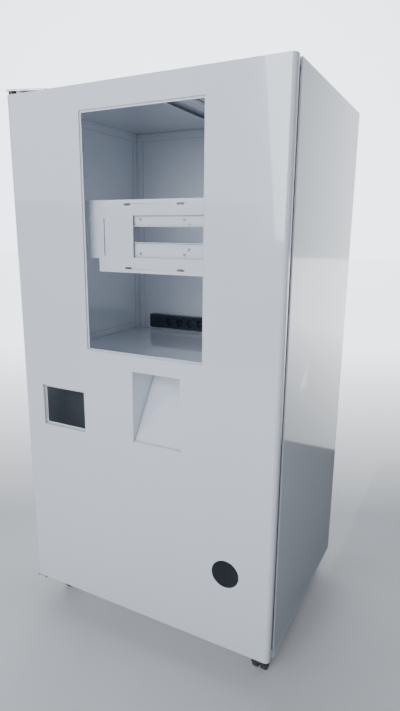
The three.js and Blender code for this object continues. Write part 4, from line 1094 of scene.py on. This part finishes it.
STRIP_WALL = 0.0025
CUP_RADIUS = 0.0195
CUP_WALL = 0.0017
CUP_DEPTH = 0.0175
CONTACT_PLACES = (-0.0095, 0.0095)
CONTACT_RADIUS = 0.0025
CLIP_LINE = ((0.003, 0.0190), (0.007, 0.0166), (0.0165, 0.0188))  # depth, and rise from the middle
ROCKER_TILT = math.radians(6)


def make_strip():
    """The socket strip: an extruded case with its ends closed, on a bright channel."""
    low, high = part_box("power_strip_body")
    half = STRIP_WALL / 2
    middle = (low.z + high.z) / 2
    y0, y1, top = low.y + half, high.y - half, high.z - half
    cups = [(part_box(f"socket_{number}")[0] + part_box(f"socket_{number}")[1]) / 2 for number in range(1, 7)]
    holes = [circle((middle, cup.x), CUP_RADIUS + CUP_WALL + GAP, 40) for cup in cups]
    rocker = sum(corner.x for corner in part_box("power_strip_rocker")) / 2
    room = 0.0115
    holes.append(round_outline((middle - room, rocker - room), (middle + room, rocker + room), 0.0015))
    folded_sheet(
        "strip_case", [(y1, low.z), (y1, top), (y0, top), (y0, low.z)], (low.x, high.x), 0, "cabinet",
        "black_plastic", ["power_strip_body"], [(2, hole) for hole in holes], radii=0.00375, sheet=STRIP_WALL)
    outline = round_outline((low.y + STRIP_WALL, low.z), (high.y - STRIP_WALL, high.z - STRIP_WALL), 0.001)
    lead = circle(((low.y + high.y) / 2, middle), 0.0083, 32)
    for name, x, openings in (("left", low.x + 2 * half, []), ("right", high.x - 2 * half, [lead])):
        flat_plate(f"strip_{name}_end", outline, 0, x, "cabinet", "black_plastic", openings=openings,
                   sheet=STRIP_WALL)
    low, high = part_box("power_strip_base")
    y0, y1, top = low.y + half, high.y - half, high.z - half
    folded_sheet(
        "strip_channel", [(y0, low.z), (y0, top), (y1, top), (y1, low.z)], (low.x, high.x), 0, "cabinet",
        "strip_aluminium", ["power_strip_base"], radii=0.002, sheet=STRIP_WALL)


def make_sockets():
    """Six round recesses, each with two contacts in its floor and an earth clip above and below."""
    contacts, clips = [], []
    for number in range(1, 7):
        low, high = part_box(f"socket_{number}")
        x, y, z = (low.x + high.x) / 2, low.y, (low.z + high.z) / 2
        outer, end = CUP_RADIUS + CUP_WALL, high.y - low.y
        rim = 0.0005
        wall = [(CUP_RADIUS + rim, 0), (outer - rim, 0), (outer, rim), (outer, end), (CUP_RADIUS, end),
                (CUP_RADIUS, rim)]
        solid_piece(f"socket_{number}_cup", [lathe(wall, (x, y, z), (0, 1, 0), 56)], "cabinet",
                    "black_plastic", [f"socket_{number}"])
        holes = [circle((x + shift, z), CONTACT_RADIUS, 20) for shift in CONTACT_PLACES]
        flat_plate(
            f"socket_{number}_floor", circle((x, z), CUP_RADIUS + 0.0005, 56), 1, y + (CUP_DEPTH + end) / 2,
            "cabinet", "black_plastic", openings=holes, sheet=end - CUP_DEPTH)
        sleeve = [(0.0019, 0.0004), (0.0024, 0.0004), (0.0024, 0.003), (0.0019, 0.003)]
        contacts += [lathe(sleeve, (x + shift, y + CUP_DEPTH, z), (0, 1, 0), 20) for shift in CONTACT_PLACES]
        for side in (-1, 1):
            line = [(y + depth, z + side * rise) for depth, rise in CLIP_LINE]
            clips.append(prism(sheet_profile(line, 0.002, 0.0007), 0, x - 0.002, x + 0.002))
    solid_piece("socket_contacts", contacts, "cabinet", "bright_steel")
    solid_piece("earth_clips", clips, "cabinet", "bright_steel", softness=0.0001)


def make_rocker():
    """The mains rocker: two flats that meet in a shallow valley, and ends turned about its pivot."""
    found = next(joint for joint in frame["joints"] if joint["name"] == "power_switch")
    low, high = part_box("power_strip_rocker")
    reach, depth = 0.0105, 0.0042
    spread = math.asin(depth / reach)
    arc = np.linspace(0, spread, 6)
    lower = [(-reach * math.sin(a), -reach * math.cos(a)) for a in arc[::-1]]
    upper = [(-reach * math.sin(a), reach * math.cos(a)) for a in arc]
    section = np.array([(-0.0012, 0.0)] + lower + [(0.006, -0.7 * reach), (0.006, 0.7 * reach)] + upper)
    turn = np.array([[math.cos(ROCKER_TILT), math.sin(ROCKER_TILT)],
                     [-math.sin(ROCKER_TILT), math.cos(ROCKER_TILT)]])
    section = section @ turn + np.array(found["pos_m"][1:])
    solid_piece("rocker", [prism(section, 0, low.x, high.x)], "power_switch", "black_plastic",
                ["power_strip_rocker"], softness=0.0004)


def make_gland():
    """The lead's gland: a six-sided nut, a ribbed cap and an open bore."""
    low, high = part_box("power_strip_gland")
    centre = (low.x, (low.y + high.y) / 2, (low.z + high.z) / 2)
    bore, radius = 0.0036, 0.008
    length = high.x - low.x
    body = [(bore, 0), (radius, 0), (radius, 0.0165), (radius - 0.0008, 0.0175), (radius - 0.0008, 0.021),
            (0.0062, length - 0.0006), (0.0055, length), (bore, length)]
    nut = [(bore + 0.002, 0.0028), (0.0105, 0.0028), (0.011, 0.0034), (0.011, 0.0069), (0.0105, 0.0075),
           (bore + 0.002, 0.0075)]
    cap = [(bore + 0.002, 0.0095), (0.0092, 0.0095), (0.0092, 0.0175), (0.0082, 0.0190),
           (bore + 0.002, 0.0190)]
    parts = [lathe(profile, centre, (1, 0, 0), sides) for profile, sides in ((body, 40), (nut, 6), (cap, 12))]
    solid_piece("lead_gland", parts, "cabinet", "black_plastic", ["power_strip_gland"])


# ---------------------------------------------------------------- casters

WHEEL_RADIUS = 0.030
WHEEL_WIDTH = 0.018
HUB_RADIUS = 0.0215
AXLE_RADIUS = 0.004
HOOD_INNER = 0.032
HOOD_OUTER = 0.0345
HOOD_REACH = 0.024
NECK_RADIUS = 0.018
NECK_FOOT = 0.052
CASTER_CORNERS = ("front_left", "front_right", "rear_left", "rear_right")


def wheel_parts(centre, outward):
    """A wheel's tread and hub, turned about the axle; h runs towards the outer face."""
    half = WHEEL_WIDTH / 2
    shoulder = np.radians(np.linspace(0, 90, 6))
    edge = 0.003
    rim = WHEEL_RADIUS - edge
    side = [(rim + edge * math.sin(a), half - edge + edge * math.cos(a)) for a in shoulder]
    tread = [(HUB_RADIUS, half), *side, *[(r, -h) for r, h in side[::-1]], (HUB_RADIUS, -half)]
    bore = AXLE_RADIUS + PIN_FIT
    hub = [(bore, -half + 0.0005), (HUB_RADIUS - 0.0001, -half + 0.0005),
           (HUB_RADIUS - 0.0001, half - 0.0006),
           (HUB_RADIUS - 0.0012, half), (0.0195, half), (0.0180, half - 0.0024), (0.0095, half - 0.0030),
           (0.0085, half - 0.0012), (0.0078, half - 0.0008), (bore, half - 0.0008)]
    return lathe(tread, centre, outward, 72), lathe(hub, centre, outward, 56)


def hood_shell(axle, across, ahead):
    """The cover over both wheels: a round-shouldered section swept about the axle from 8 to 172 degrees,
    P = axle + r (ahead cos a + up sin a) + w across."""
    turn = np.radians(np.linspace(0, 90, 5))
    soft = 0.0022
    side = [(HOOD_OUTER - soft + soft * math.cos(a), HOOD_REACH - soft + soft * math.sin(a)) for a in turn]
    section = np.array([*side, (HOOD_INNER, HOOD_REACH), (HOOD_INNER, -HOOD_REACH),
                        *[(r, -w) for r, w in side[::-1]]])
    angles = np.radians(np.linspace(8, 172, 49))
    spokes = np.cos(angles)[:, None] * ahead + np.sin(angles)[:, None] * np.array([0, 0, 1.0])
    points = (axle + spokes[:, None, :] * section[None, :, :1] + across * section[None, :, 1:])
    count = len(section)
    ends = [list(range(count)), list(range(48 * count, 49 * count))[::-1]]
    return points.reshape(-1, 3), grid_faces(49, count, False, True).tolist() + ends


def hood_web(axle, across, ahead):
    """The plate between the wheels: most of a half disc, brought down round the axle."""
    rim = np.radians(np.linspace(8, 172, 33))
    boss = np.radians(np.linspace(250, 290, 7))
    radius = np.concatenate([np.full(33, HOOD_INNER + 0.001), np.full(7, 0.010)])
    angles = np.concatenate([rim, boss])
    flat = np.stack([radius * np.cos(angles), radius * np.sin(angles)], 1)
    points, faces = prism(flat, 0, -0.004, 0.004)
    return axle + points @ np.array([across, ahead, [0, 0, 1.0]]), faces


def hood_neck(swivel, top, axle_height, ahead, trail):
    """The swivel's neck. Its underside clears the wheels: z = max(foot, axle + sqrt(R^2 - d^2)), where
    d is how far the point is from the axle along the hood."""
    sides = 48
    angles = np.arange(sides)[:, None] * 2 * math.pi / sides
    rings = NECK_RADIUS * np.linspace(1, 0, 7)[None, :]
    spoke = np.cos(angles) * ahead[0] + np.sin(angles) * ahead[1]
    along = rings * spoke + trail
    clear = axle_height + np.sqrt(np.maximum((HOOD_INNER + 0.0003) ** 2 - along ** 2, 0))
    under = np.maximum(NECK_FOOT, clear)
    soft = 0.0008
    radius = np.hstack([np.zeros((sides, 1)), np.full((sides, 1), NECK_RADIUS - soft),
                        np.full((sides, 1), NECK_RADIUS), np.repeat(rings, sides, axis=0)])
    height = np.hstack([np.full((sides, 2), top), np.full((sides, 1), top - soft), under])
    points = np.stack([swivel[0] + radius * np.cos(angles), swivel[1] + radius * np.sin(angles), height], 2)
    return points.reshape(-1, 3), grid_faces(sides, radius.shape[1], True, True).tolist()


def make_caster(corner):
    """A twin-wheel swivel caster: its plate and race, hood, axle and two wheels."""
    joints = {joint["name"]: joint for joint in frame["joints"]}
    swivel = np.array(joints[f"caster_{corner}_swivel"]["pos_m"])
    boxes = {side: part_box(f"caster_wheel_{corner}_{side}") for side in "ab"}
    centres = {side: np.array((low + high) / 2) for side, (low, high) in boxes.items()}
    axle = (centres["a"] + centres["b"]) / 2
    across = (centres["b"] - centres["a"]) / np.linalg.norm(centres["b"] - centres["a"])
    lead = np.array([swivel[0] - axle[0], swivel[1] - axle[1], 0.0])
    trail = np.linalg.norm(lead)
    ahead = lead / trail
    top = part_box(f"caster_hood_{corner}")[1].z
    plate_low, plate_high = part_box(f"caster_mount_{corner}")
    plate = plate_high.z - 0.003
    mount = prism(round_outline((plate_low.x, plate_low.y), (plate_high.x, plate_high.y), 0.006), 2, plate,
                  plate_high.z)
    race = [(0, 0), (NECK_RADIUS - 0.001, 0), (NECK_RADIUS, 0.001), (NECK_RADIUS, 0.0026),
            (NECK_RADIUS - 0.0012, 0.0032), (NECK_RADIUS - 0.0012, 0.005), (0, 0.005)]
    seat = (swivel[0], swivel[1], top + GAP)
    solid_piece(f"{corner}_plate", [mount, lathe(race, seat, (0, 0, 1), 56)], "cabinet", "zinc_plate",
                [f"caster_mount_{corner}"], softness=0.0004)
    bolts = [button_screw((swivel[0] + x, swivel[1] + y, plate), (0, 0, -1), 0.0045, 0.003)
             for x in (-0.022, 0.022) for y in (-0.022, 0.022)]
    solid_piece(f"{corner}_bolts", bolts, "cabinet", "bright_steel")
    parts = [hood_shell(axle, across, ahead), hood_web(axle, across, ahead),
             hood_neck(swivel, top, axle[2], ahead, trail)]
    solid_piece(f"{corner}_hood", parts, f"caster_{corner}", "black_plastic", [f"caster_hood_{corner}"])
    reach = 0.022
    pin = [(0, -reach), (AXLE_RADIUS - 0.0008, -reach), (AXLE_RADIUS, -reach + 0.0008),
           (AXLE_RADIUS, reach - 0.0008), (AXLE_RADIUS - 0.0008, reach), (0, reach)]
    solid_piece(f"{corner}_axle", [lathe(pin, axle, across, 32)], f"caster_{corner}", "bright_steel",
                [f"caster_axle_{corner}"])
    for side, sign in (("a", -1), ("b", 1)):
        tread, hub = wheel_parts(centres[side], sign * across)
        body = f"wheel_{corner}_{side}"
        solid_piece(f"{corner}_tread_{side}", [tread], body, "grey_tread", [f"caster_wheel_{corner}_{side}"])
        solid_piece(f"{corner}_hub_{side}", [hub], body, "black_plastic")


# ---------------------------------------------------------------- assembly

place_camera()
light_studio()
lay_floor()
put_card("floor_card", [(0.5, -3.0, 0.001), (3.0, -3.0, 0.001), (3.0, 1.6, 0.001), (0.5, 1.6, 0.001)])
put_card("upright_card", [(1.7, -1.9, 0.0), (1.7, 0.1, 0.0), (1.7, 0.1, 3.0), (1.7, -1.9, 3.0)])
finish_cad_nodes()
make_side_panel("left", 1)
make_side_panel("right", -1)
make_tray("roof", "roof_panel", True)
make_tray("floor", "floor_panel", False)
make_back()
make_posts()
make_shelf()
make_roof_beam()
make_wall_plate()
make_door_skin()
make_window_frame()
make_payment_frame()
make_chute()
make_stiffeners()
make_bracket()
make_rails()
make_seal()
make_top_hinge()
make_pins()
make_bushes()
make_bottom_hinge()
make_catches()
make_strip()
make_sockets()
make_rocker()
make_gland()
for corner in CASTER_CORNERS:
    make_caster(corner)
